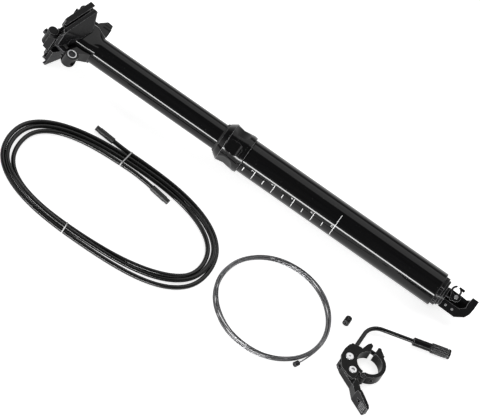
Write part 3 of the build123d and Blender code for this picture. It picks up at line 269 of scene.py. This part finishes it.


# The finishes of the solid pieces; each one's edge tone is a painted highlight laid along its edges.
finishes = {
    "glossBlack": {"tones": ((0.0022, 0.0022, 0.0024), (0.0036, 0.0036, 0.0038)), "rough": (0.05, 0.07),
                   "metallic": 0.0, "ior": 1.35, "grain": "drawnLines", "scale": 500.0, "bump": 0.003,
                   "edge": (0.12, 0.12, 0.122), "edgeShare": 0.7, "edgeRadius": 0.0, "dust": 0.15},
    "collarBlack": {"tones": ((0.0022, 0.0022, 0.0024), (0.0036, 0.0036, 0.0038)), "rough": (0.09, 0.14),
                    "metallic": 0.0, "ior": 1.35, "grain": "surfaceGrain", "scale": 1500.0, "bump": 0.004,
                    "edge": (0.55, 0.55, 0.555), "edgeShare": 0.85, "edgeRadius": 0.0006, "dust": 0.15},
    "satinBlack": {"tones": ((0.0032, 0.0032, 0.0034), (0.0075, 0.0075, 0.008)), "rough": (0.2, 0.3),
                   "metallic": 0.0, "ior": 1.22, "grain": "surfaceGrain", "scale": 2600.0, "bump": 0.02,
                   "edge": (0.38, 0.38, 0.385), "edgeShare": 0.85, "edgeRadius": 0.0005, "dust": 0.3},
    "mattBlack": {"tones": ((0.0036, 0.0036, 0.0038), (0.0085, 0.0085, 0.009)), "rough": (0.24, 0.34),
                  "metallic": 0.0, "ior": 1.22, "grain": "surfaceGrain", "scale": 3000.0, "bump": 0.03,
                  "edge": (0.38, 0.38, 0.385), "edgeShare": 0.85, "edgeRadius": 0.0005, "dust": 0.3},
    "bareAlloy": {"tones": ((0.45, 0.45, 0.46), (0.62, 0.62, 0.64)), "rough": (0.24, 0.36),
                  "metallic": 1.0, "ior": 1.45, "grain": "drawnLines", "scale": 900.0, "bump": 0.05,
                  "edge": (0.75, 0.75, 0.76), "edgeShare": 0.5, "edgeRadius": 0.0003, "dust": 0.2},
    "brightSteel": {"tones": ((0.6, 0.6, 0.61), (0.8, 0.8, 0.81)), "rough": (0.22, 0.36),
                    "metallic": 1.0, "ior": 1.45, "grain": "surfaceGrain", "scale": 1800.0, "bump": 0.04,
                    "edge": (0.75, 0.75, 0.75), "edgeShare": 0.6, "edgeRadius": 0.00015, "dust": 0.2},
    "darkSteel": {"tones": ((0.018, 0.018, 0.019), (0.045, 0.045, 0.047)), "rough": (0.22, 0.34),
                  "metallic": 0.85, "ior": 1.45, "grain": "surfaceGrain", "scale": 1800.0, "bump": 0.04,
                  "edge": (0.35, 0.35, 0.36), "edgeShare": 0.6, "edgeRadius": 0.0002, "dust": 0.2},
    "blackTube": {"tones": ((0.003, 0.003, 0.0032), (0.006, 0.006, 0.0065)), "rough": (0.1, 0.17),
                  "metallic": 0.0, "ior": 1.4, "grain": "surfaceGrain", "scale": 1500.0, "bump": 0.02,
                  "edge": (0.08, 0.08, 0.08), "edgeShare": 0.5, "edgeRadius": 0.0, "dust": 0.3},
    "boltSteel": {"tones": ((0.012, 0.012, 0.013), (0.03, 0.03, 0.032)), "rough": (0.2, 0.32),
                  "metallic": 0.7, "ior": 1.45, "grain": "screwThread", "scale": 0.0008, "bump": 0.9,
                  "edge": (0.3, 0.3, 0.31), "edgeShare": 0.6, "edgeRadius": 0.0002, "dust": 0.2},
    "keyBrass": {"tones": ((0.5, 0.34, 0.12), (0.68, 0.5, 0.22)), "rough": (0.25, 0.4),
                 "metallic": 1.0, "ior": 1.45, "grain": "surfaceGrain", "scale": 1500.0, "bump": 0.04,
                 "edge": (0.8, 0.65, 0.35), "edgeShare": 0.5, "edgeRadius": 0.0002, "dust": 0.1},
    "sealRubber": {"tones": ((0.007, 0.007, 0.007), (0.013, 0.013, 0.013)), "rough": (0.5, 0.68),
                   "metallic": 0.0, "ior": 1.42, "grain": "surfaceGrain", "scale": 1200.0, "bump": 0.08,
                   "edge": (0.03, 0.03, 0.03), "edgeShare": 0.4, "edgeRadius": 0.0003, "dust": 0.5},
    "greyPlastic": {"tones": ((0.05, 0.05, 0.05), (0.08, 0.08, 0.08)), "rough": (0.35, 0.5),
                    "metallic": 0.0, "ior": 1.45, "grain": "surfaceGrain", "scale": 1400.0, "bump": 0.05,
                    "edge": (0.12, 0.12, 0.12), "edgeShare": 0.4, "edgeRadius": 0.0003, "dust": 0.2},
    "ferrulePlastic": {"tones": ((0.010, 0.010, 0.010), (0.020, 0.020, 0.020)), "rough": (0.3, 0.42),
                       "metallic": 0.0, "ior": 1.45, "grain": "surfaceGrain", "scale": 1400.0, "bump": 0.05,
                       "edge": (0.08, 0.08, 0.08), "edgeShare": 0.5, "edgeRadius": 0.0003, "dust": 0.3},
    "tiePlastic": {"tones": ((0.36, 0.36, 0.36), (0.5, 0.5, 0.5)), "rough": (0.4, 0.5),
                   "metallic": 0.0, "ior": 1.45, "grain": "surfaceGrain", "scale": 2000.0, "bump": 0.04,
                   "edge": (0.6, 0.6, 0.6), "edgeShare": 0.4, "edgeRadius": 0.0002, "dust": 0.1},
}

dustTone = (0.3, 0.3, 0.29)
smudgeShare = 0.5  # how much of the roughness range a smudge adds
bumpDepth = 0.0002


def addBump(tree, shader, strength, height, normal=None):
    bump = tree.nodes.new("ShaderNodeBump")
    bump.inputs["Strength"].default_value = strength
    bump.inputs["Distance"].default_value = bumpDepth
    tree.links.new(height, bump.inputs["Height"])
    if normal is not None:
        tree.links.new(normal, bump.inputs["Normal"])
    tree.links.new(bump.outputs["Normal"], shader.inputs["Normal"])


def makeFinish(name, look):
    tree, shader = newFinish(name)
    grain = useGroup(tree, look["grain"], Scale=look["scale"])
    edges = useGroup(tree, "roundedEdge", Radius=look["edgeRadius"])
    marks = useGroup(tree, "handlingMarks", Dust=look["dust"])
    tone = blendTones(tree, grain["Value"], *look["tones"])
    # Painted highlight: a lighter tone blended in along every edge, standing in for the lamps catching it.
    paintedEdgeHighlight = calc(tree, "MULTIPLY", edges["Edge"], look["edgeShare"])
    tone = blendTones(tree, paintedEdgeHighlight, tone, look["edge"])
    tone = blendTones(tree, marks["Speck"], tone, dustTone)
    tree.links.new(tone, shader.inputs["Base Color"])
    low, high = look["rough"]
    rough = calc(tree, "ADD", spread(tree, grain["Value"], 0.0, 1.0, low, high),
                 calc(tree, "MULTIPLY", marks["Smudge"], (high - low) * smudgeShare))
    tree.links.new(rough, shader.inputs["Roughness"])
    shader.inputs["Metallic"].default_value = look["metallic"]
    shader.inputs["IOR"].default_value = look["ior"]
    rounded = edges["Normal"] if look["edgeRadius"] > 0 else None
    addBump(tree, shader, look["bump"], grain["Height"], rounded)


for finishName, look in finishes.items():
    makeFinish(finishName, look)

cordFinishes = {
    "housingBlack": {"tones": ((0.004, 0.004, 0.004), (0.009, 0.009, 0.009)), "rough": (0.1, 0.2),
                     "metallic": 0.0, "ior": 1.4, "pitch": 0.0022, "strands": 0.0, "ribs": 0.012,
                     "groove": (0.003, 0.003, 0.003), "grain": 1400.0},
    "wireSteel": {"tones": ((0.15, 0.15, 0.155), (0.27, 0.27, 0.28)), "rough": (0.26, 0.32),
                  "metallic": 1.0, "ior": 1.45, "pitch": 0.0048, "strands": 6.0, "ribs": 0.05,
                  "groove": (0.09, 0.09, 0.09), "grain": 1400.0},
}


def makeCordFinish(name, look):
    tree, shader = newFinish(name)
    grain = useGroup(tree, "surfaceGrain", Scale=look["grain"])
    ribs = useGroup(tree, "windingRibs", Pitch=look["pitch"], Strands=look["strands"])
    tone = blendTones(tree, grain["Value"], *look["tones"])
    # Painted shade: a darker tone in the grooves between the ribs and strands.
    tone = blendTones(tree, ribs["Groove"], tone, look["groove"])
    tree.links.new(tone, shader.inputs["Base Color"])
    low, high = look["rough"]
    tree.links.new(spread(tree, grain["Value"], 0.0, 1.0, low, high), shader.inputs["Roughness"])
    shader.inputs["Metallic"].default_value = look["metallic"]
    shader.inputs["IOR"].default_value = look["ior"]
    addBump(tree, shader, look["ribs"], ribs["Height"])


for finishName, look in cordFinishes.items():
    makeCordFinish(finishName, look)
print("finishes made")

nodeFinish = {
    "glossBlack": ("lower_tube", "upper_post"),
    "collarBlack": ("seal_collar",),
    "satinBlack": ("lock_ring", "foot_cap", "actuator_bracket", "actuator_cam", "rail_cradle",
                   "rail_clamp_plate", "adjuster_sleeve", "adjuster_knob", "cable_barrel", "front_nut",
                   "rear_nut"),
    "mattBlack": ("remote_body", "clamp_band", "remote_lever"),
    "blackTube": ("guide_tube",),
    "bareAlloy": ("gas_cartridge", "cartridge_gland"),
    "brightSteel": ("bracket_pins", "cam_pivot_pin", "lever_pivot_bolt", "cover_screw", "lever_spring"),
    "darkSteel": ("cartridge_rod", "valve_pin", "rear_barrel_washer", "band_hinge_pin", "pinch_bolt",
                  "cable_clamp_screw", "cable_head", "barrel_grub_screw"),
    "boltSteel": ("front_bolt", "rear_bolt"),
    "keyBrass": ("key_pins",),
    "sealRubber": ("wiper_seal",),
    "greyPlastic": ("upper_bushing", "lower_bushing", "rod_piston", "lever_bush"),
    "ferrulePlastic": ("housing_ferrule_a", "housing_ferrule_b"),
    "tiePlastic": ("bundle_ties",),
    "housingBlack": ("housing_coil",),
    "wireSteel": ("cable_coil",),
}
finishOf = {node: name for name, nodes in nodeFinish.items() for node in nodes}
for node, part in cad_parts.items():
    if not part.material_slots:
        part.data.materials.append(None)
    for place in part.material_slots:
        place.material = bpy.data.materials[finishOf[node]]


def meshPiece(name, verts, faces, finish):
    # A new object with one mesh and one finish.
    mesh = bpy.data.meshes.new(name)
    mesh.from_pydata(verts, [], faces)
    mesh.materials.append(bpy.data.materials[finish])
    piece = bpy.data.objects.new(name, mesh)
    bpy.context.collection.objects.link(piece)
    return piece


# The housing and the inner cable, laid as wound cords.
cordDetail = 8  # steps that the spline is read in, for each control point


def cordRoute(name, points):
    # One smooth spline through the given control points, read back as close points.
    curve = bpy.data.curves.new(name, "CURVE")
    curve.dimensions = "3D"
    curve.resolution_u = cordDetail
    spline = curve.splines.new("NURBS")
    spline.points.add(len(points) - 1)
    for point, (x, y, z) in zip(spline.points, points):
        point.co = (x, y, z, 1)
    spline.order_u = 3
    spline.use_endpoint_u = True
    holder = bpy.data.objects.new(name, curve)
    bpy.context.collection.objects.link(holder)
    bpy.context.view_layer.update()
    line = bpy.data.meshes.new_from_object(holder)
    route = [vertex.co.copy() for vertex in line.vertices]
    bpy.data.objects.remove(holder)
    return route


def cordTube(name, route, radius, sides, finish):
    # A tube that follows the route, with its length and turn kept as a map for the ribs.
    side = (route[1] - route[0]).cross(Vector((0, 0, 1))).normalized()
    rings, lengths, along = [], [], 0.0
    for number, point in enumerate(route):
        before = route[max(number - 1, 0)]
        after = route[min(number + 1, len(route) - 1)]
        heading = (after - before).normalized()
        side = (side - heading * side.dot(heading)).normalized()
        other = heading.cross(side)
        along += (point - before).length
        lengths.append(along)
        rings.append([point + (side * math.cos(t) + other * math.sin(t)) * radius
                      for t in (2 * math.pi * k / sides for k in range(sides))])
    verts = [v for ring in rings for v in ring]
    faces, marks = [], []
    for number in range(len(rings) - 1):
        for k in range(sides):
            n = (k + 1) % sides
            a, b = number * sides, (number + 1) * sides
            faces.append((a + k, a + n, b + n, b + k))
            marks.append(((lengths[number], k / sides), (lengths[number], (k + 1) / sides),
                          (lengths[number + 1], (k + 1) / sides), (lengths[number + 1], k / sides)))
    last = (len(rings) - 1) * sides
    faces.append(tuple(reversed(range(sides))))
    faces.append(tuple(last + k for k in range(sides)))
    marks.append([(0.0, k / sides) for k in range(sides)])
    marks.append([(along, k / sides) for k in range(sides)])
    tube = meshPiece(name, verts, faces, finish)
    layer = tube.data.uv_layers.new(name="alongCord")
    for face, corners in zip(tube.data.polygons, marks):
        face.use_smooth = len(corners) == 4
        for loop, mark in zip(face.loop_indices, corners):
            layer.data[loop].uv = mark
    return tube


# The two tables hold one value for each eighth of a turn: how far the strand lies inside the
# outermost line, and how far it is lifted where it lies on another strand.
housing = {"x": -71.5, "y": -110.5, "lift": 2.8, "radius": 2.0, "sides": 20, "long": 101.5, "short": 56.0,
           "turns": 3, "perTurn": 24, "entries": 8, "squareness": 0.844,
           "inward": (0.0, 0.0, 1.2, -0.4, 3.0, 1.8, 2.0, 3.4, 4.2, 4.2, 4.4, 6.8, 6.4, 4.8, 6.2, 7.6, 8.5,
                      8.4, 8.6, 9.7, 10.4, 8.9, 12.7, 12.0, 14.1),
           "raised": (0.0, 0.0, 0.0, 0.0, 0.0, 0.0, 0.0, 0.0, 0.0, 1.2, 2.6, 0.4, 2.2, 2.8, 0.0, 0.0, 0.0,
                      0.0, 0.4, 3.1, 0.6, 0.0, 0.0, 0.0, 0.0),
           "outBend": 200.0, "outTurn": 6.5, "inBend": 94.0, "inTurn": 11.0}

tailShares = {"bend": (0.45, 0.9), "straight": (0.3, 1.0)}  # where a tail's control points stand


def arcTail(start, heading, bend, turn, straight):
    # Control points of a short tail that leaves the coil, bending to its right.
    angle = math.radians(turn)
    right = Vector((heading.y, -heading.x, 0))
    reach = bend * math.sin(angle)
    points = [start + heading * (reach * s) + right * (bend * (1 - math.cos(angle)) * s * s)
              for s in tailShares["bend"]]
    final = heading * math.cos(angle) + right * math.sin(angle)
    foot = start + heading * reach + right * bend * (1 - math.cos(angle))
    return points + [foot + final * straight * s for s in tailShares["straight"]]


# Each tie is a thin strap drawn round the strands that it holds; slant is along x, per mm across.
ties = {"width": 1.0, "thick": 0.35, "clear": 0.1, "steps": 72,
        "straps": ({"x": -9.7, "side": 1, "slant": 0.12}, {"x": -18.0, "side": -1, "slant": -0.05})}


def strandCentres(route, coil, strap):
    # Where the strands cross the strap's plane, on its side of the coil's middle.
    x = (coil["x"] + strap["x"]) * mm
    middle = coil["y"] * mm
    found = []
    for first, second in zip(route, route[1:]):
        if (first.x - x) * (second.x - x) < 0 and (first.y - middle) * strap["side"] > 0:
            found.append(first.lerp(second, (x - first.x) / (second.x - first.x)))
    return found


def addTies(look, route, coil):
    # Straps that follow the outline of the strands, as a tight band would.
    verts, faces = [], []
    for strap in look["straps"]:
        centres = strandCentres(route, coil, strap)
        middle = sum(centre.y for centre in centres) / len(centres)
        inner = (coil["radius"] + look["clear"]) * mm
        base = len(verts)
        for number in range(look["steps"]):
            angle = 2 * math.pi * number / look["steps"]
            out = Vector((0, math.cos(angle), math.sin(angle)))
            held = max(centres, key=lambda centre: centre.dot(out))
            for reach in (inner, inner + look["thick"] * mm):
                point = held + out * reach
                for half in (-look["width"] / 2, look["width"] / 2):
                    across = half * mm + (point.y - middle) * strap["slant"]
                    verts.append(point + Vector((across, 0, 0)))
        for number in range(look["steps"]):
            a = base + 4 * number
            b = base + 4 * ((number + 1) % look["steps"])
            for first, second in ((0, 1), (1, 3), (3, 2), (2, 0)):
                faces.append((a + first, a + second, b + second, b + first))
    straps = meshPiece("bundleStraps", verts, faces, "tiePlastic")
    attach(straps, "lower_post")
    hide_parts("bundle_ties")
    return straps


def tableValue(table, place):
    # A smooth value between the entries of a table.
    last = len(table) - 1
    number = min(int(place), last - 1)
    share = place - number
    before, first, second, after = (table[max(0, min(k, last))] for k in range(number - 1, number + 3))
    slope = second - before
    bend = 2 * before - 5 * first + 4 * second - after
    twist = 3 * first - before - 3 * second + after
    return 0.5 * (2 * first + slope * share + bend * share ** 2 + twist * share ** 3)


def addHousing(look, tieLook):
    grow = 1 / math.cos(math.pi / look["perTurn"])  # the spline cuts inside its control points
    start = Vector((0, look["short"], 0))
    outer = arcTail(start, Vector((-1, 0, 0)), look["outBend"], look["outTurn"], 2 * look["radius"])
    points = list(reversed(outer))
    for number in range(look["turns"] * look["perTurn"] + 1):
        turn = number / look["perTurn"]
        angle = math.radians(90) - 2 * math.pi * turn
        across, upward = math.cos(angle), math.sin(angle)
        inward = tableValue(look["inward"], turn * look["entries"])
        raised = tableValue(look["raised"], turn * look["entries"])
        long = (look["long"] - inward) * grow
        short = (look["short"] - inward) * grow
        points.append(Vector((math.copysign(abs(across) ** look["squareness"], across) * long,
                              math.copysign(abs(upward) ** look["squareness"], upward) * short,
                              max(0.0, raised))))
    points += arcTail(points[-1] / grow, Vector((1, 0, 0)), look["inBend"], look["inTurn"],
                      2 * look["radius"])
    middle = Vector((look["x"], look["y"], 0))
    placed = [(point + middle) * mm + Vector((0, 0, floorZ + look["lift"] * mm)) for point in points]
    route = cordRoute("housingLine", placed)
    tube = cordTube("housingTube", route, look["radius"] * mm, look["sides"], "housingBlack")
    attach(tube, "lower_post")
    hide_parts("housing_coil")
    straps = addTies(tieLook, route, look)
    print("housing laid, points", len(route))


addHousing(housing, ties)

cable = {"x": 89.4, "y": -105.8, "radius": 0.6, "sides": 12, "loop": 49.95, "bundle": 1.45, "places": 7,
         "lays": 1, "looseness": 0.9, "looseWaves": 2, "looseStart": 0.9, "settleTurn": 0.25,
         "turns": 6.5, "perTurn": 24, "tailBend": 75.0, "tailTurn": 25.5, "headHeight": 2.3}


def addCable(look):
    # One wire wound round and round: its turns lie twisted about each other in one ring.
    grow = 1 / math.cos(math.pi / look["perTurn"])
    points = []
    for number in range(1, int(look["turns"] * look["perTurn"]) + 1):
        turn = number / look["perTurn"]
        swing = 2 * math.pi * turn * (look["lays"] + 1 / look["places"])
        angle = 2 * math.pi * turn
        loose = look["looseness"] * (0.5 - 0.5 * math.cos(look["looseWaves"] * angle + look["looseStart"]))
        settled = min(1.0, turn / look["settleTurn"])  # the first turn starts where the head's tail ends
        reach = (look["loop"] + (look["bundle"] + loose * settled) * math.cos(swing)) * grow
        height = look["radius"] + look["bundle"] * (1 + math.sin(swing))
        points.append(Vector((reach * math.cos(angle), reach * math.sin(angle), height)))
    start = Vector((look["loop"] + look["bundle"], 0, look["headHeight"]))
    tail = arcTail(start, Vector((0, -1, 0)), look["tailBend"], look["tailTurn"], 2 * look["radius"])
    points = list(reversed(tail)) + [start * grow] + points
    middle = Vector((look["x"], look["y"], 0)) * mm + Vector((0, 0, floorZ))
    route = cordRoute("cableLine", [point * mm + middle for point in points])
    tube = cordTube("cableWire", route, look["radius"] * mm, look["sides"], "wireSteel")
    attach(tube, "lower_post")
    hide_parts("cable_coil")
    print("cable laid, points", len(route))


addCable(cable)

# The rear barrel washer's end: a bright rim and a dark socket ring, both from turned profiles. They
# ride on sliding_post and stay in place when the saddle tilts.
washerEnd = {"node": "rear_barrel_washer", "body": "sliding_post", "steps": 60, "sunk": 0.05,
             "rim": ((4.2, 0.0), (4.2, 0.25), (4.0, 0.45), (3.4, 0.45), (3.2, 0.3), (3.1, 0.0)),
             "socket": ((2.7, 0.0), (2.7, 0.2), (2.5, 0.35)), "hexagon": 1.75, "socketHeight": 0.35}


def hexReach(angle, across):
    # How far a hexagon's side lies from its middle in this direction.
    sector = math.radians(60)
    return across / math.cos((angle % sector) - sector / 2)


def addWasherEnd(look):
    low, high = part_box(look["node"])
    middle = Vector(((low[0] + high[0]) / 2, (low[1] + high[1]) / 2, high[2] - look["sunk"] * mm))
    for name, finish in (("rim", "brightSteel"), ("socket", "darkSteel")):
        profile = look[name]
        verts, faces = [], []
        inside = name == "socket"
        rows = len(profile) + (2 if inside else 0)
        for number in range(look["steps"]):
            angle = 2 * math.pi * number / look["steps"]
            around = Vector((math.cos(angle), math.sin(angle), 0))
            for reach, height in profile:
                verts.append(middle + (around * reach + Vector((0, 0, height))) * mm)
            if inside:
                reach = hexReach(angle, look["hexagon"])
                verts.append(middle + (around * reach + Vector((0, 0, look["socketHeight"]))) * mm)
                verts.append(middle + around * reach * mm)
        for number in range(look["steps"]):
            a, b = number * rows, ((number + 1) % look["steps"]) * rows
            for row in range(rows):
                after = (row + 1) % rows
                faces.append((a + row, b + row, b + after, a + after))
        ring = meshPiece("washer" + name.capitalize(), verts, faces, finish)
        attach(ring, look["body"])


addWasherEnd(washerEnd)
print("washer end turned")

# The depth scale printed on the lower tube.
postTilt = math.radians(1.651)
postTurn = Matrix.Rotation(postTilt, 4, "Y")
depthScale = {"radius": 15.45, "proud": 0.03, "first": 3.8, "step": 10.0, "count": 10, "thick": 0.55,
              "middle": 4.0, "short": 9.0, "long": 19.5, "limitX": 93.8, "limit": (-23.0, 68.0),
              "patchStep": 4.0, "numberSize": 2.6, "numberX": -1.5, "numberTurn": 4.0, "numberDetail": 3}


def tubePatch(look, start, end, low, high):
    # A thin printed patch on the tube: x from start to end, turned from low to high degrees.
    steps = max(2, int((high - low) / look["patchStep"]))
    reach = look["radius"] + look["proud"]
    verts, faces = [], []
    for number in range(steps + 1):
        angle = math.radians(low + (high - low) * number / steps)
        for x in (start, end):
            verts.append(postTurn @ (Vector((x, -reach * math.cos(angle), reach * math.sin(angle))) * mm))
    for number in range(steps):
        a = 2 * number
        faces.append((a, a + 1, a + 3, a + 2))
    return verts, faces


printLook = {"tones": ((0.5, 0.5, 0.5), (0.72, 0.72, 0.72)), "rough": (0.35, 0.5), "heights": (0.3, 0.7),
             "scale": 3000.0}


def makePrintFinish(look):
    # White screen print, a little uneven.
    tree, shader = newFinish("whitePrint")
    grain = useGroup(tree, "surfaceGrain", Scale=look["scale"])
    tree.links.new(blendTones(tree, grain["Value"], *look["tones"]), shader.inputs["Base Color"])
    rough = spread(tree, grain["Height"], *look["heights"], *look["rough"])
    tree.links.new(rough, shader.inputs["Roughness"])


makePrintFinish(printLook)


def addDepthScale(look):
    verts, faces = [], []

    def addPatch(*place):
        newVerts, newFaces = tubePatch(look, *place)
        base = len(verts)
        verts.extend(newVerts)
        faces.extend(tuple(base + k for k in face) for face in newFaces)

    half = look["thick"] / 2
    for number in range(look["count"]):
        x = look["first"] + look["step"] * number
        reach = look["long"] if number % 2 else look["short"]
        if abs(x - look["limitX"]) > look["step"] / 2:
            addPatch(x - half, x + half, look["middle"] - reach, look["middle"] + reach)
    addPatch(look["limitX"] - half, look["limitX"] + half, *look["limit"])
    ticks = meshPiece("depthTicks", verts, faces, "whitePrint")
    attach(ticks, "lower_post")


addDepthScale(depthScale)


def addDepthNumbers(look):
    # Small plain numbers beside the long ticks, wrapped onto the tube.
    for number in range(1, look["count"], 2):
        text = bpy.data.curves.new("depthNumber", "FONT")
        text.body = str(number + 1)
        text.size = look["numberSize"] * mm
        text.align_x = "CENTER"
        text.resolution_u = look["numberDetail"]
        holder = bpy.data.objects.new("depthNumber", text)
        bpy.context.collection.objects.link(holder)
        bpy.context.view_layer.update()
        mesh = bpy.data.meshes.new_from_object(holder)
        bpy.data.objects.remove(holder)
        reach = (look["radius"] + look["proud"]) * mm
        x = (look["first"] + look["step"] * number + look["numberX"]) * mm
        top = math.radians(look["middle"] + look["long"] - look["numberTurn"])
        for vertex in mesh.vertices:
            angle = top + vertex.co.x / reach
            along = x - vertex.co.y
            vertex.co = postTurn @ Vector((along, -reach * math.cos(angle), reach * math.sin(angle)))
        mesh.materials.clear()
        mesh.materials.append(bpy.data.materials["whitePrint"])
        figure = bpy.data.objects.new("depthNumber" + str(number + 1), mesh)
        bpy.context.collection.objects.link(figure)
        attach(figure, "lower_post")


addDepthNumbers(depthScale)
print("depth scale printed")

# Floor, room and lamps.
studio = {"floorSize": 30.0, "floorGlow": 0.72, "floorTone": 0.85, "floorSpread": 0.02,
          "floorGrain": (60.0, 4.0), "floorDrop": 0.00005, "skyTop": 0.1, "skyBand": (0.08, 0.4),
          "skyLight": 0.3, "aim": (0.02, -0.03, -0.01),
          "strip": {"place": (0.1, -2.1, 0.2), "size": (2.8, 0.26), "energy": 78.0},
          "back": {"place": (0.1, 1.35, 1.8), "size": (3.2, 1.7), "energy": 21.0},
          "fill": {"place": (-1.6, -1.2, 1.6), "size": (0.8, 0.8), "energy": 5.0}}


def seenDirectly(tree):
    # True for rays from the camera and for those that a glossy or clear surface sends on.
    rays = tree.nodes.new("ShaderNodeLightPath")
    seen = calc(tree, "MAXIMUM", rays.outputs["Is Camera Ray"], rays.outputs["Is Glossy Ray"])
    return calc(tree, "MAXIMUM", seen, rays.outputs["Is Transmission Ray"])


def addFloor(look):
    size = look["floorSize"] / 2
    low = floorZ - look["floorDrop"]
    corners = [(-size, -size, low), (size, -size, low), (size, size, low), (-size, size, low)]
    tree, shader = newFinish("paleFloor")
    tone = look["floorTone"]
    fine, patch = look["floorGrain"]
    grain = useGroup(tree, "surfaceGrain", Scale=fine, Patch_Scale=patch)
    paint = blendTones(tree, grain["Value"], (tone,) * 3, (tone + look["floorSpread"],) * 3)
    tree.links.new(paint, shader.inputs["Base Color"])
    shader.inputs["Roughness"].default_value = 1.0
    shader.inputs["Emission Color"].default_value = (1, 1, 1, 1)
    glow = calc(tree, "MULTIPLY", seenDirectly(tree), look["floorGlow"])
    tree.links.new(glow, shader.inputs["Emission Strength"])
    floor = meshPiece("studioFloor", corners, [(0, 1, 2, 3)], "paleFloor")


def addWorld(look):
    world = bpy.data.worlds.new("paleRoom")
    bpy.context.scene.world = world
    world.use_nodes = True
    tree = world.node_tree
    out = next(node for node in tree.nodes if node.type == "OUTPUT_WORLD")
    shown = next(node for node in tree.nodes if node.type == "BACKGROUND")
    light = tree.nodes.new("ShaderNodeBackground")
    light.inputs["Color"].default_value = (1, 1, 1, 1)
    light.inputs["Strength"].default_value = look["skyLight"]
    coords = tree.nodes.new("ShaderNodeTexCoord")
    split = tree.nodes.new("ShaderNodeSeparateXYZ")
    tree.links.new(coords.outputs["Generated"], split.inputs[0])
    height = spread(tree, split.outputs["Z"], *look["skyBand"], 1.0, look["skyTop"])
    tree.links.new(height, shown.inputs["Strength"])
    shown.inputs["Color"].default_value = (1, 1, 1, 1)
    mix = tree.nodes.new("ShaderNodeMixShader")
    tree.links.new(seenDirectly(tree), mix.inputs["Fac"])
    tree.links.new(light.outputs[0], mix.inputs[1])
    tree.links.new(shown.outputs[0], mix.inputs[2])
    tree.links.new(mix.outputs[0], out.inputs["Surface"])


def addLamp(name, look, aim):
    lamp = bpy.data.lights.new(name, "AREA")
    lamp.shape = "RECTANGLE"
    lamp.size, lamp.size_y = look["size"]
    lamp.energy = look["energy"]
    holder = bpy.data.objects.new(name, lamp)
    place = Vector(look["place"])
    holder.location = place
    holder.rotation_euler = (Vector(aim) - place).to_track_quat("-Z", "Y").to_euler()
    bpy.context.collection.objects.link(holder)


addFloor(studio)
addWorld(studio)
for lampName in ("strip", "back", "fill"):
    addLamp(lampName + "Lamp", studio[lampName], studio["aim"])
bpy.context.scene.view_settings.view_transform = "Standard"
print("studio lit")

bpy.context.view_layer.update()
